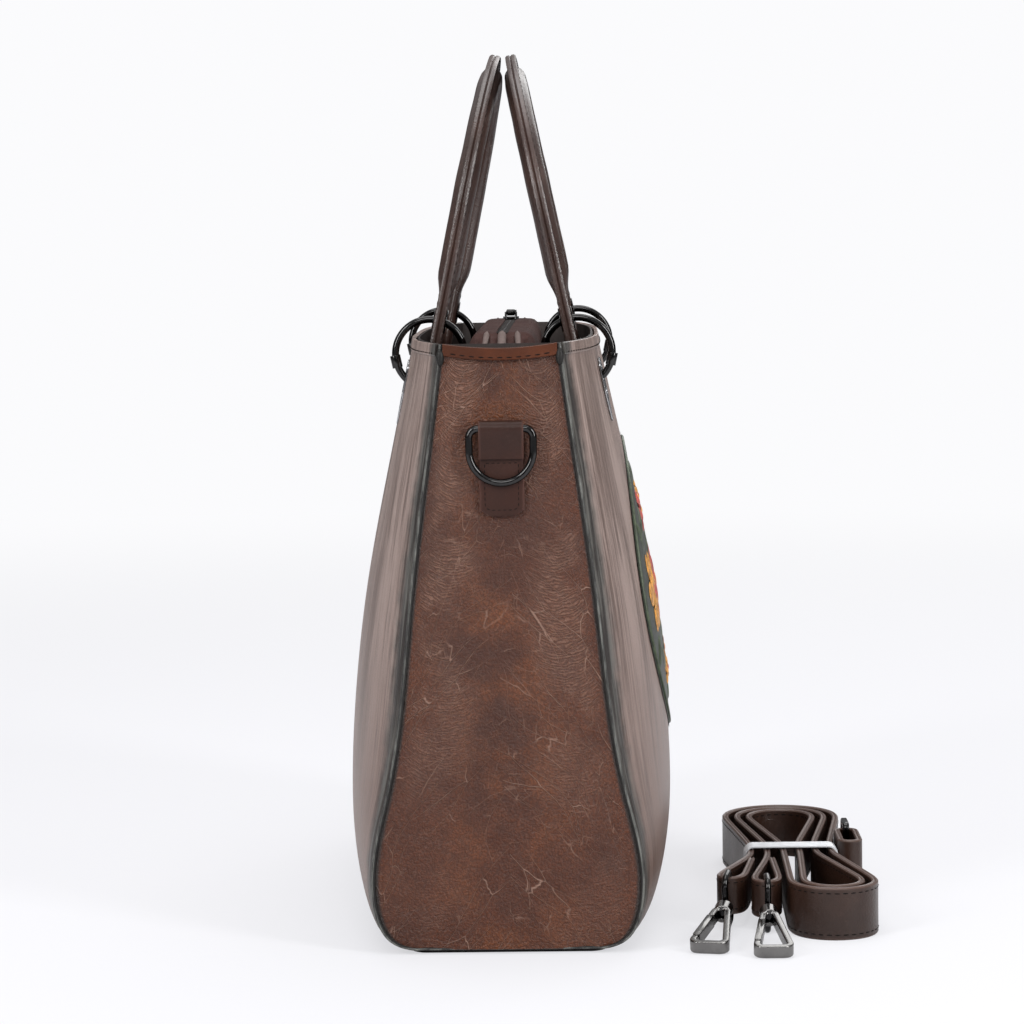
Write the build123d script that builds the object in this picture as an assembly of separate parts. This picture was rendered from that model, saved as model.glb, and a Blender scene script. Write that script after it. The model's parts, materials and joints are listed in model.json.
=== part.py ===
from build123d import *
from math import asin, atan2, cos, degrees, radians, sin
import os

# Structured tote bag with a zipped top, swinging handles on rings and a loose shoulder strap.
# X runs along the bag, the front panel faces -Y, Z is up, and the base rests at Z = 0.

# Bag body
BAG_LENGTH = 310.0
BAG_HEIGHT = 284.0
GUSSET_HALF_DEPTH = 63.0
BELLY_HALF_DEPTH = 79.0
PANEL_THICKNESS = 1.7
GUSSET_THICKNESS = 1.8
FACING_THICKNESS = 1.0
LINING_THICKNESS = 0.8
FACING_DEPTH = 38.0
SEAM_GAP = 0.1
OVERRUN = 12.0
PROFILE_HEIGHT_SHARES = (0.0, 0.018, 0.07, 0.26, 0.57, 0.90, 1.0)
END_DEPTH_SHARES = (0.69, 0.90, 0.998, 0.89, 0.70, 0.503, 0.447)
MID_DEPTH_SHARES = (0.67, 0.835, 0.93, 1.0, 0.89, 0.645, 0.567)
STATION_SHARES = (-1.06, -0.88, -0.70, -0.496, -0.25, 0.0, 0.25, 0.496, 0.70, 0.88, 1.06)
BULGE_POWER = 3.2

# Base and seams
BASE_THICKNESS = 2.4
BASE_SEAM_SHARE = 0.267
BASE_END_MARGIN = 3.0
BASE_CORNER_RADIUS = 8.0
BOARD_THICKNESS = 2.0
PIPING_INSET = 0.3
PIPING_WIDTH = 2.4
PIPING_HEIGHT = 1.9

# Raised motif on the front panel
MOTIF_RELIEF = 1.4
MOTIF_WIDTH = 196.0
MOTIF_HEIGHT = 150.0
MOTIF_CENTRE_HEIGHT = 158.0
MOTIF_BORDER = 6.0
BLOOM_RADIUS = 21.0
PETAL_LENGTH = 19.0
PETAL_WIDTH = 12.0
PETAL_COUNT = 6
BLOOM_SPREAD = 58.0
LEAF_LENGTH = 40.0
LEAF_WIDTH = 13.0
LEAF_TILT = 32.0

# Zipped closure
ZIP_LENGTH = 208.0
ZIP_RISE = 3.0
ZIP_OPEN_HALF = 5.0
ZIP_ROOF_HALF = 13.5
ZIP_ROOF_DROP = 1.6
ZIP_WALL_HALF = 15.2
ZIP_WALL_DROP = 30.0
ZIP_HEM_DROP = 34.0
ZIP_SHEET = 1.2
ZIP_END_RUN = 42.0
ZIP_END_DROP = 17.0
TAPE_THICKNESS = 0.8
TAPE_HALF_GAP = 0.15
TAPE_WIDTH = 9.0
COIL_WIDTH = 1.6
COIL_HEIGHT = 1.7
SLIDER_LENGTH = 11.0
SLIDER_WIDTH = 8.4
SLIDER_WALL = 1.1
SLIDER_CLEARANCE = 0.3
SLIDER_END_GAP = 3.5
BRIDGE_RADIUS = 0.9
BRIDGE_RISE = 2.2
PULL_LENGTH = 22.0
PULL_WIDTH = 5.4
PULL_THICKNESS = 1.5

# Carrying rings and panel eyelets
RING_X = 77.0
RING_MEAN_RADIUS = 16.6
RING_WIRE_RADIUS = 1.75
RING_EYELET_DROP = 20.5
RING_EYELET_ANGLE = 52.0
RING_COLLAR_RADIUS = 2.5
RING_COLLAR_LENGTH = 6.0
RING_COLLAR_ANGLE = 12.0
EYELET_SLOT_WIDTH = 4.6
EYELET_SLOT_LENGTH = 15.5
EYELET_COLLAR = 0.7
EYELET_FLANGE = 2.8
EYELET_TAIL = 9.0
EYELET_PLATE = 0.9

# Handles
HANDLE_MEET_GAP = 0.59
HANDLE_HOLE_ANGLE = 72.0
HANDLE_ARCH_RISE = 47.5
ROLL_RADIUS = 5.4
ROLL_LEG = 30.0
FLANGE_REACH = 11.4
FLANGE_THICKNESS = 5.2
TAB_TAIL = 23.0
TAB_CORNER = 5.0
GROMMET_BORE = 3.1
GROMMET_WALL = 0.6
GROMMET_FLANGE = 2.2
GROMMET_PLATE = 0.7

# D-rings on the gussets
TAB_WIDTH = 20.7
TAB_TOP_HEIGHT = 249.0
TAB_LENGTH = 44.0
TAB_THICKNESS = 1.9
TAB_FLAP_LENGTH = 15.0
TAB_ROUNDING = 4.0
D_WIRE_RADIUS = 1.75
D_INNER_WIDTH = 26.0
D_HEIGHT = 28.5
D_CORNER = 4.2
D_CLEARANCE = 0.08

# Shoulder strap, folded into a hank beside the bag
STRAP_WIDTH = 25.0
STRAP_THICKNESS = 3.2
STRAND_PITCH = 8.0
HANK_X = -32.0
HANK_Y = -139.0
TIE_WIDTH = 12.0
TIE_THICKNESS = 1.0
BACK_LOOP_REACH = 108.0
BACK_LOOP_RADIUS = 31.0
FRONT_LOOP_REACH = 92.0
FRONT_LOOP_RADIUS = 22.0
FRONT_LOOP_SHIFT = -15.5
TURN_PITCH = 6.0
END_LOOP_RADIUS = 8.2
END_LOOP_WIDTH = 18.0
END_LOOP_LIFT = 6.7
END_LOOP_REACHES = (68.0, 77.0)
END_LOOP_SHIFTS = (33.5, 16.5)
ADJUSTER_LENGTH = 36.0
ADJUSTER_RADIUS = 6.2
ADJUSTER_GAP = 2.1
ADJUSTER_BACK = 14.0
BUCKLE_WIRE = 1.6
BUCKLE_LENGTH = 15.0
BUCKLE_CLEARANCE = 0.4

# Snap hooks on the strap ends
HOOK_EYE_WIRE = 1.5
HOOK_EYE_REACH = 13.0
HOOK_EYE_CORNER = 4.0
HOOK_EYE_SLACK = 2.0
HOOK_TURNS = (12.0, 0.0)
HOOK_POST_RADIUS = 1.9
HOOK_POST_LENGTH = 9.0
HOOK_POST_HEAD = 3.0
HOOK_POST_HEAD_LENGTH = 1.6
HOOK_BARREL_RADIUS = 4.4
HOOK_BARREL_LENGTH = 5.0
HOOK_LENGTH = 42.0
HOOK_TIP_WIDTH = 18.5
HOOK_NECK_WIDTH = 9.5
HOOK_BAR = 3.2
HOOK_DEPTH = 6.0
HOOK_FIT = 0.06
GATE_START_SHARE = 0.24
GATE_END_SHARE = 0.78
GATE_GAP = 0.3

LEFT = -1
RIGHT = 1


def bulge_share(u):
    """How far a section at lengthwise share u has swelled from the gusset outline to the belly."""
    return 1.0 - abs(u) ** BULGE_POWER


def side_points(u, inset, rise):
    """Half-outline of the body section at share u, moved inwards, from the base edge to the rim."""
    points = []
    for index, height_share in enumerate(PROFILE_HEIGHT_SHARES):
        end = GUSSET_HALF_DEPTH * END_DEPTH_SHARES[index]
        mid = BELLY_HALF_DEPTH * MID_DEPTH_SHARES[index]
        depth = end + (mid - end) * bulge_share(u)
        height = BASE_THICKNESS + (BAG_HEIGHT - BASE_THICKNESS) * height_share
        points.append([depth - inset, height])
    points[0] = [points[0][0] + inset, points[0][1] + inset]
    last_run = Vector(*points[-1]) - Vector(*points[-2])
    points[-1][0] += last_run.X / last_run.Y * rise
    points[-1][1] += rise
    return [Vector(BAG_LENGTH / 2 * u, y, z) for y, z in points]


def side_edge(u, inset, rise, side=1):
    """Spline up one side of the section, from the base edge to the rim."""
    return Edge.make_spline([Vector(p.X, side * p.Y, p.Z) for p in side_points(u, inset, rise)])


def section(u, inset, rise):
    """Closed section of the body at lengthwise share u."""
    right = side_edge(u, inset, rise)
    left = side_edge(u, inset, rise, -1)
    floor = Edge.make_line(left @ 0, right @ 0)
    top = Edge.make_line(right @ 1, left @ 1)
    return Face(Wire([right, top, left, floor]))


def body_form(inset, rise=0.0):
    """Solid form of the body, longer than the bag at both ends."""
    return loft([section(u, inset, rise) for u in STATION_SHARES])


def slab(low, high):
    """Box between two corners."""
    size = Vector(*high) - Vector(*low)
    centre = (Vector(*high) + Vector(*low)) / 2
    return Pos(centre) * Box(size.X, size.Y, size.Z)


def lengthwise(half_length):
    """Box that trims a form to a half-length."""
    reach = BELLY_HALF_DEPTH + OVERRUN
    return slab((-half_length, -reach, -OVERRUN), (half_length, reach, BAG_HEIGHT + OVERRUN))


def wall_at(x, height, inset=0.0):
    """Depth and upward slope angle of the wall at a length and a height."""
    edge = side_edge(2 * x / BAG_LENGTH, inset, 0.0)
    low = 0.0
    high = 1.0
    for _ in range(40):
        middle = (low + high) / 2
        if (edge @ middle).Z < height:
            low = middle
        else:
            high = middle
    tangent = edge % low
    return (edge @ low).Y, degrees(atan2(-tangent.Y, tangent.Z))


def mirror_y(shape):
    return mirror(shape, about=Plane.XZ)


def mirror_x(shape):
    return mirror(shape, about=Plane.YZ)


# Wall shells
HALF_LENGTH = BAG_LENGTH / 2
GUSSET_FACE = HALF_LENGTH - GUSSET_THICKNESS
outer_form = body_form(0.0)
inner_form = body_form(PANEL_THICKNESS, OVERRUN)
facing_form = body_form(PANEL_THICKNESS + SEAM_GAP, OVERRUN)
cavity_form = body_form(PANEL_THICKNESS + SEAM_GAP + FACING_THICKNESS, OVERRUN)
wall = (outer_form - inner_form) & lengthwise(HALF_LENGTH)

# Carrying ring places: the ring pierces the wall below the rim and leans in over it
wall_mid = (PANEL_THICKNESS + FACING_THICKNESS + SEAM_GAP) / 2
eyelet_z = BAG_HEIGHT - RING_EYELET_DROP
eyelet_y, eyelet_slope = wall_at(RING_X, eyelet_z)
eyelet_taper = (eyelet_y - wall_at(RING_X + OVERRUN, eyelet_z)[0]) / OVERRUN
ring_y = eyelet_y - wall_mid - RING_MEAN_RADIUS * cos(radians(RING_EYELET_ANGLE))
ring_z = eyelet_z + RING_MEAN_RADIUS * sin(radians(RING_EYELET_ANGLE))


def eyelet_plane(side_x):
    """Plane on the front wall at a ring's eyelet, its Z outwards and its Y up the wall."""
    slope = radians(eyelet_slope)
    along = Vector(1, side_x * eyelet_taper, 0)
    outwards = Vector(side_x * eyelet_taper, -1, sin(slope))
    return Plane(origin=(side_x * RING_X, -eyelet_y, eyelet_z), x_dir=along, z_dir=outwards)


def eyelet_hole(side_x, margin):
    """Tall slot through the wall where a ring passes."""
    slot = SlotOverall(EYELET_SLOT_LENGTH + 2 * margin, EYELET_SLOT_WIDTH + 2 * margin, rotation=90)
    return extrude(eyelet_plane(side_x) * slot, OVERRUN, both=True)


# The base seam lies between the foot of the gusset and the foot of the belly
gusset_foot = GUSSET_HALF_DEPTH * END_DEPTH_SHARES[0]
belly_foot = BELLY_HALF_DEPTH * MID_DEPTH_SHARES[0]
base_half_width = gusset_foot + BASE_SEAM_SHARE * (belly_foot - gusset_foot)

slots = eyelet_hole(LEFT, EYELET_COLLAR + SEAM_GAP) + eyelet_hole(RIGHT, EYELET_COLLAR + SEAM_GAP)
all_slots = slots + mirror_y(slots)


def front_share(form):
    """Part of a wall in front of the base seam."""
    reach = BELLY_HALF_DEPTH + OVERRUN
    low = (-BAG_LENGTH, -reach, -OVERRUN)
    high = (BAG_LENGTH, -base_half_width, BAG_HEIGHT + OVERRUN)
    return form & slab(low, high)


# Above the base the whole side wall belongs to the panel
corner_z = BASE_THICKNESS + PANEL_THICKNESS
upper = slab((-BAG_LENGTH, -BAG_LENGTH, corner_z), (BAG_LENGTH, 0, BAG_HEIGHT + OVERRUN))
front_wall = (wall & upper) + front_share(wall)
front_panel = front_wall - slots
rear_panel = mirror_y(front_wall) - mirror_y(slots)


def base_panel():
    outline = RectangleRounded(
        BAG_LENGTH - 2 * BASE_END_MARGIN, 2 * base_half_width, BASE_CORNER_RADIUS
    )
    plate = extrude(outline, BASE_THICKNESS)
    return chamfer(plate.faces().sort_by(Axis.Z)[0].edges(), BASE_THICKNESS / 4)


def base_board():
    low = (-GUSSET_FACE + SEAM_GAP, -base_half_width + SEAM_GAP, BASE_THICKNESS)
    high = (GUSSET_FACE - SEAM_GAP, base_half_width - SEAM_GAP, BASE_THICKNESS + BOARD_THICKNESS)
    return slab(low, high)


def left_gusset():
    """End wall cut to the section at its seam, between the two panels."""
    form = facing_form & slab(
        (-HALF_LENGTH, -BAG_LENGTH, -OVERRUN), (-GUSSET_FACE, BAG_LENGTH, BAG_HEIGHT)
    )
    board = slab(
        (-BAG_LENGTH, -base_half_width, -OVERRUN),
        (BAG_LENGTH, base_half_width, BASE_THICKNESS + SEAM_GAP),
    )
    return form - board


def left_piping():
    """Bead that runs down one seam, under the gusset and up the other seam."""
    bead = body_form(PIPING_INSET) - body_form(PIPING_INSET + PIPING_WIDTH, OVERRUN)
    outside = -HALF_LENGTH - PIPING_HEIGHT
    return bead & slab((outside, -BAG_LENGTH, -OVERRUN), (-HALF_LENGTH, BAG_LENGTH, BAG_HEIGHT))


def pocket(form, end_inset):
    return form & lengthwise(GUSSET_FACE - end_inset)


facing_outer = pocket(facing_form, SEAM_GAP)
facing_inner = pocket(cavity_form, SEAM_GAP + FACING_THICKNESS)
facing_foot = BAG_HEIGHT - FACING_DEPTH
above_foot = slab((-BAG_LENGTH, -BAG_LENGTH, facing_foot), (BAG_LENGTH, BAG_LENGTH, BAG_HEIGHT))
mouth_facing = ((facing_outer - facing_inner) & above_foot) - all_slots


def lining():
    """Loose inner bag that hangs from the foot of the facing and lies on the base board."""
    floor_z = BASE_THICKNESS + BOARD_THICKNESS + SEAM_GAP
    span = slab(
        (-BAG_LENGTH, -BAG_LENGTH, floor_z),
        (BAG_LENGTH, BAG_LENGTH, facing_foot - SEAM_GAP),
    )
    room = slab(
        (-BAG_LENGTH, -BAG_LENGTH, floor_z + LINING_THICKNESS),
        (BAG_LENGTH, BAG_LENGTH, BAG_HEIGHT),
    )
    inner = pocket(body_form(PANEL_THICKNESS + SEAM_GAP + LINING_THICKNESS, OVERRUN),
                   SEAM_GAP + LINING_THICKNESS)
    return (facing_outer & span) - (inner & room)


# Zipped closure
ZIP_TOP = BAG_HEIGHT + ZIP_RISE
ROOF_SLOPE_SHARE = ZIP_ROOF_DROP / (ZIP_ROOF_HALF - ZIP_SHEET - ZIP_OPEN_HALF)


def zip_panel_section(x, drop):
    """Bent strip from the zip, over a narrow roof, down a wall and out to the facing."""
    reach = -BELLY_HALF_DEPTH
    outer = [
        (-ZIP_OPEN_HALF, ZIP_TOP),
        (-ZIP_ROOF_HALF, ZIP_TOP - ZIP_ROOF_DROP),
        (-ZIP_WALL_HALF, BAG_HEIGHT - ZIP_WALL_DROP),
        (reach, BAG_HEIGHT - ZIP_HEM_DROP),
    ]
    inner = [
        (reach, BAG_HEIGHT - ZIP_HEM_DROP - ZIP_SHEET),
        (-ZIP_WALL_HALF + ZIP_SHEET, BAG_HEIGHT - ZIP_WALL_DROP - ZIP_SHEET),
        (-ZIP_ROOF_HALF + ZIP_SHEET, ZIP_TOP - ZIP_ROOF_DROP - ZIP_SHEET),
        (-ZIP_OPEN_HALF, ZIP_TOP - ZIP_SHEET),
    ]
    corners = [Vector(x, y, z - drop) for y, z in outer + inner]
    return Face(Wire.make_polygon(corners, close=True))


def zip_panel():
    half = ZIP_LENGTH / 2
    sections = (
        (-half - ZIP_END_RUN, ZIP_END_DROP),
        (-half, 0.0),
        (half, 0.0),
        (half + ZIP_END_RUN, ZIP_END_DROP),
    )
    strip = loft([zip_panel_section(x, drop) for x, drop in sections], ruled=True)
    return strip & pocket(body_form(PANEL_THICKNESS + 2 * SEAM_GAP + FACING_THICKNESS, OVERRUN),
                          2 * SEAM_GAP + FACING_THICKNESS)


def zip_tape():
    """Woven tape under the front zip panel's edge, with its row of coil."""
    half = ZIP_LENGTH / 2
    top = ZIP_TOP - ZIP_SHEET - SEAM_GAP
    fall = (TAPE_WIDTH - ZIP_OPEN_HALF) * ROOF_SLOPE_SHARE
    corners = [
        Vector(0, -TAPE_HALF_GAP, top),
        Vector(0, -ZIP_OPEN_HALF, top),
        Vector(0, -TAPE_WIDTH, top - fall),
        Vector(0, -TAPE_WIDTH, top - fall - TAPE_THICKNESS),
        Vector(0, -ZIP_OPEN_HALF, top - TAPE_THICKNESS),
        Vector(0, -TAPE_HALF_GAP, top - TAPE_THICKNESS),
    ]
    tape = extrude(Face(Wire.make_polygon(corners, close=True)), half, dir=(1, 0, 0), both=True)
    coil = slab(
        (-half, -TAPE_HALF_GAP - COIL_WIDTH, top),
        (half, -TAPE_HALF_GAP, top + COIL_HEIGHT),
    )
    return tape + coil


tape_top = ZIP_TOP - ZIP_SHEET - SEAM_GAP
coil_top = tape_top + COIL_HEIGHT
slider_x = ZIP_LENGTH / 2 - SLIDER_END_GAP - SLIDER_LENGTH / 2
bridge_z = coil_top + SLIDER_CLEARANCE + SLIDER_WALL + BRIDGE_RISE


def zip_slider():
    """Saddle that runs on the coil, with a bridge on top for the pull."""
    low = tape_top + SLIDER_CLEARANCE
    roof = coil_top + SLIDER_CLEARANCE + SLIDER_WALL
    plan = make_hull(
        (Pos(SLIDER_LENGTH / 4, 0) * RectangleRounded(SLIDER_LENGTH / 2, SLIDER_WIDTH, SLIDER_WALL)
         + Pos(-SLIDER_LENGTH / 4, 0)
         * RectangleRounded(SLIDER_LENGTH / 2, SLIDER_WIDTH - 2 * SLIDER_WALL, SLIDER_WALL)).edges()
    )
    block = Pos(0, 0, low) * extrude(plan, roof - low)
    tunnel_half = COIL_WIDTH + TAPE_HALF_GAP + SLIDER_CLEARANCE
    block -= slab(
        (-SLIDER_LENGTH, -tunnel_half, low - OVERRUN),
        (SLIDER_LENGTH, tunnel_half, coil_top + SLIDER_CLEARANCE),
    )
    bar = Pos(0, 0, bridge_z) * Rot(90, 0, 0) * Cylinder(BRIDGE_RADIUS, SLIDER_WALL * 4)
    arm_size = BRIDGE_RISE + BRIDGE_RADIUS
    for side in (-1, 1):
        arm_y = side * (SLIDER_WALL * 2 + SLIDER_WALL / 2)
        arm = slab(
            (-BRIDGE_RADIUS, arm_y - SLIDER_WALL / 2, roof - SLIDER_WALL / 2),
            (BRIDGE_RADIUS, arm_y + SLIDER_WALL / 2, roof - SLIDER_WALL / 2 + arm_size),
        )
        block += arm
    return Pos(slider_x, 0, 0) * (block + bar)


def zip_pull():
    """Flat pull with a round eye on the slider's bridge, lying along the zip."""
    eye_radius = PULL_WIDTH / 2
    inner = BRIDGE_RADIUS + HOOK_FIT
    barrel = Rot(90, 0, 0) * Cylinder(inner + PULL_THICKNESS / 2, SLIDER_WALL * 4 - 2 * SEAM_GAP)
    stem = slab((0, -SLIDER_WALL * 2 + SEAM_GAP, -PULL_THICKNESS / 2),
                (eye_radius * 2, SLIDER_WALL * 2 - SEAM_GAP, PULL_THICKNESS / 2))
    tab = SlotOverall(PULL_LENGTH, PULL_WIDTH)
    tab -= Pos(PULL_LENGTH / 2 - PULL_WIDTH / 2, 0) * Circle(PULL_WIDTH / 4)
    plate = extrude(tab, PULL_THICKNESS / 2, both=True)
    start = inner + PULL_THICKNESS / 2 + PULL_LENGTH / 2
    body = barrel + stem + Pos(start, 0, 0) * plate
    body -= Rot(90, 0, 0) * Cylinder(inner, PULL_WIDTH * 2)
    return Pos(slider_x, 0, bridge_z) * body


def motif():
    """Raised oval field on the front panel with a rim, three blooms and leaves between them."""
    centre = Pos(0, MOTIF_CENTRE_HEIGHT)
    oval = Ellipse(MOTIF_WIDTH / 2, MOTIF_HEIGHT / 2)
    inside = Ellipse(MOTIF_WIDTH / 2 - MOTIF_BORDER, MOTIF_HEIGHT / 2 - MOTIF_BORDER)
    raised = oval - inside
    for place in (-1, 0, 1):
        bloom = Circle(BLOOM_RADIUS - PETAL_LENGTH / 2)
        for petal in range(PETAL_COUNT):
            turn = petal * 360 / PETAL_COUNT
            reach = BLOOM_RADIUS - PETAL_LENGTH / 2
            bloom += Rot(0, 0, turn) * Pos(reach, 0) * Ellipse(PETAL_LENGTH / 2, PETAL_WIDTH / 2)
        raised += Pos(place * BLOOM_SPREAD, 0) * bloom
    for side_x in (-1, 1):
        for side_y in (-1, 1):
            leaf = Ellipse(LEAF_LENGTH / 2, LEAF_WIDTH / 2)
            spot = Pos(side_x * BLOOM_SPREAD / 2, side_y * (BLOOM_RADIUS + LEAF_WIDTH))
            raised += spot * Rot(0, 0, -side_x * side_y * LEAF_TILT) * leaf
    low = body_form(-MOTIF_RELIEF / 2)
    high = body_form(-MOTIF_RELIEF)
    field_cut = extrude(Plane.XZ * (centre * oval), BELLY_HALF_DEPTH + OVERRUN)
    raised_cut = extrude(Plane.XZ * (centre * raised), BELLY_HALF_DEPTH + OVERRUN)
    field = (low & field_cut) - outer_form
    relief = (high & raised_cut) - outer_form
    return field + relief


def panel_eyelet(side_x):
    """Slotted metal eyelet with a drop-shaped tail, on the front wall."""
    half = EYELET_SLOT_LENGTH / 2 + EYELET_FLANGE
    width = EYELET_SLOT_WIDTH + 2 * EYELET_FLANGE
    head = Pos(0, half - width / 2) * Circle(width / 2)
    foot = Pos(0, -half + width / 2) * Circle(width / 2)
    tail = Pos(0, -half - EYELET_TAIL) * Circle(EYELET_FLANGE / 2)
    outline = make_hull((head + foot + tail).edges())
    slot = SlotOverall(EYELET_SLOT_LENGTH, EYELET_SLOT_WIDTH, rotation=90)
    collar = SlotOverall(
        EYELET_SLOT_LENGTH + 2 * EYELET_COLLAR, EYELET_SLOT_WIDTH + 2 * EYELET_COLLAR, rotation=90
    )
    depth = PANEL_THICKNESS + FACING_THICKNESS + SEAM_GAP
    spot = eyelet_plane(side_x).location
    plate = spot * Pos(0, 0, -EYELET_PLATE) * extrude(outline - slot, 2 * EYELET_PLATE)
    tube = spot * Pos(0, 0, EYELET_PLATE) * extrude(collar - slot, -depth - EYELET_PLATE)
    return (plate - body_form(-SEAM_GAP)) + tube


def carrying_ring(side_x):
    """Round ring in the section plane, closed by a screwed collar."""
    ring = Torus(RING_MEAN_RADIUS, RING_WIRE_RADIUS)
    collar = Rot(90, 0, 0) * Cylinder(RING_COLLAR_RADIUS, RING_COLLAR_LENGTH)
    ring += Rot(0, 0, -RING_COLLAR_ANGLE) * Pos(RING_MEAN_RADIUS, 0, 0) * collar
    upright = Plane(origin=(side_x * RING_X, -ring_y, ring_z), x_dir=(0, -1, 0), z_dir=(-1, 0, 0))
    return upright.location * ring


# Handle frame: origin at the centre of the arch, in a plane that leans towards the other handle
hole_y = ring_y - RING_MEAN_RADIUS * cos(radians(HANDLE_HOLE_ANGLE))
hole_z = ring_z + RING_MEAN_RADIUS * sin(radians(HANDLE_HOLE_ANGLE))
roll_x = RING_X - (FLANGE_REACH - ROLL_RADIUS) / 2
# Both handles lean until their grips nearly meet at the top
grip_rise = HANDLE_ARCH_RISE + roll_x
grip_reach = (grip_rise ** 2 + ROLL_RADIUS ** 2) ** 0.5
lean = asin((hole_y - HANDLE_MEET_GAP) / grip_reach) - atan2(ROLL_RADIUS, grip_rise)
arch_y = hole_y - HANDLE_ARCH_RISE * sin(lean)
arch_z = hole_z + HANDLE_ARCH_RISE * cos(lean)
handle_plane = Plane(origin=(0, -arch_y, arch_z), x_dir=(1, 0, 0), z_dir=(0, -cos(lean), sin(lean)))
tab_span = ROLL_RADIUS + FLANGE_REACH


def handle():
    """Rolled grip with a stitched flange round its outside and flat tabs at both ends."""
    roll = Torus(roll_x, ROLL_RADIUS) & slab(
        (-BAG_LENGTH, 0, -BAG_LENGTH), (BAG_LENGTH, BAG_LENGTH, BAG_LENGTH)
    )
    outer = Circle(roll_x + FLANGE_REACH) - Circle(roll_x)
    flange = outer & Pos(0, BAG_LENGTH / 2) * Rectangle(2 * BAG_LENGTH, BAG_LENGTH)
    foot = HANDLE_ARCH_RISE + TAB_TAIL
    for side in (-1, 1):
        leg = Rot(90, 0, 0) * Cylinder(ROLL_RADIUS, ROLL_LEG)
        roll += Pos(side * roll_x, -ROLL_LEG / 2, 0) * leg
        roll += Pos(side * roll_x, -ROLL_LEG, 0) * Sphere(ROLL_RADIUS)
        flange += Pos(side * (roll_x + FLANGE_REACH / 2), -ROLL_LEG / 2) * Rectangle(
            FLANGE_REACH, ROLL_LEG
        )
        tab = RectangleRounded(tab_span, foot - ROLL_LEG / 2, TAB_CORNER)
        flange += Pos(side * RING_X, -(foot + ROLL_LEG / 2) / 2) * tab
        flange -= Pos(side * RING_X, -HANDLE_ARCH_RISE) * Circle(GROMMET_BORE + GROMMET_WALL + SEAM_GAP)
    body = roll + extrude(flange, FLANGE_THICKNESS / 2, both=True)
    return handle_plane.location * body


def handle_grommets():
    """Pair of metal grommets, one in each tab of the front handle."""
    half = FLANGE_THICKNESS / 2
    pair = Part()
    for side in (-1, 1):
        bore = Circle(GROMMET_BORE)
        tube = extrude(Circle(GROMMET_BORE + GROMMET_WALL) - bore, half, both=True)
        rim = extrude(Circle(GROMMET_BORE + GROMMET_WALL + GROMMET_FLANGE) - bore, GROMMET_PLATE)
        grommet = tube + Pos(0, 0, half) * rim + Pos(0, 0, -half - GROMMET_PLATE) * rim
        pair += Pos(side * RING_X, -HANDLE_ARCH_RISE, 0) * grommet
    return handle_plane.location * pair


# D-ring and its tab on the left gusset, in a frame on the gusset's face
bar_out = TAB_THICKNESS + D_WIRE_RADIUS + D_CLEARANCE
loop_outer = D_WIRE_RADIUS + D_CLEARANCE + TAB_THICKNESS
bar_z = TAB_TOP_HEIGHT - loop_outer
tab_plane = Plane(origin=(-HALF_LENGTH, 0, bar_z), x_dir=(-1, 0, 0), z_dir=(0, 1, 0))


def ring_tab():
    """Strip sewn flat on the gusset, folded over the bar of the D-ring and sewn down in front."""
    foot = TAB_TOP_HEIGHT - TAB_LENGTH - bar_z
    strip = Pos(TAB_THICKNESS / 2, foot / 2) * Rectangle(TAB_THICKNESS, -foot)
    fold = Pos(bar_out, 0) * Circle(loop_outer)
    toe = Pos(TAB_THICKNESS * 1.5, -TAB_FLAP_LENGTH) * Circle(TAB_THICKNESS / 2)
    flap = make_hull((fold + toe).edges())
    profile = strip + flap - Pos(bar_out, 0) * Circle(D_WIRE_RADIUS + D_CLEARANCE)
    tab = extrude(tab_plane * profile, TAB_WIDTH / 2, both=True)
    corners = tab.edges().filter_by(Axis.X).group_by(Axis.Z)[0]
    return fillet(corners, TAB_ROUNDING)


def d_ring():
    """D of round wire hanging from its straight bar."""
    half = D_INNER_WIDTH / 2 + D_WIRE_RADIUS
    drop = D_HEIGHT - 2 * D_WIRE_RADIUS - half
    top_left = Vector(-half + D_CORNER, 0)
    top_right = Vector(half - D_CORNER, 0)
    diagonal = D_CORNER * (1 - cos(radians(45)))
    path = Wire([
        Edge.make_line(top_left, top_right),
        Edge.make_three_point_arc(top_right, (half - diagonal, -diagonal), (half, -D_CORNER)),
        Edge.make_line((half, -D_CORNER), (half, -drop)),
        Edge.make_three_point_arc((half, -drop), (0, -drop - half), (-half, -drop)),
        Edge.make_line((-half, -drop), (-half, -D_CORNER)),
        Edge.make_three_point_arc((-half, -D_CORNER), (-half + diagonal, -diagonal), top_left),
    ])
    start = Plane(origin=(0, 0, 0), z_dir=(1, 0, 0))
    ring = sweep(start * Circle(D_WIRE_RADIUS), path=path)
    hang = Plane(origin=(-HALF_LENGTH - bar_out, 0, bar_z), x_dir=(0, -1, 0), z_dir=(-1, 0, 0))
    return hang.location * ring


# Shoulder strap hank. Strands cross the tie side by side, numbered from the bag outwards.
STRANDS = 6
strand_y = [HANK_Y + STRAND_PITCH * ((STRANDS - 1) / 2 - index) for index in range(STRANDS)]
waist_back = HANK_X + TIE_WIDTH
waist_front = HANK_X - TIE_WIDTH
DOT_SHARE = 0.1


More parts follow.
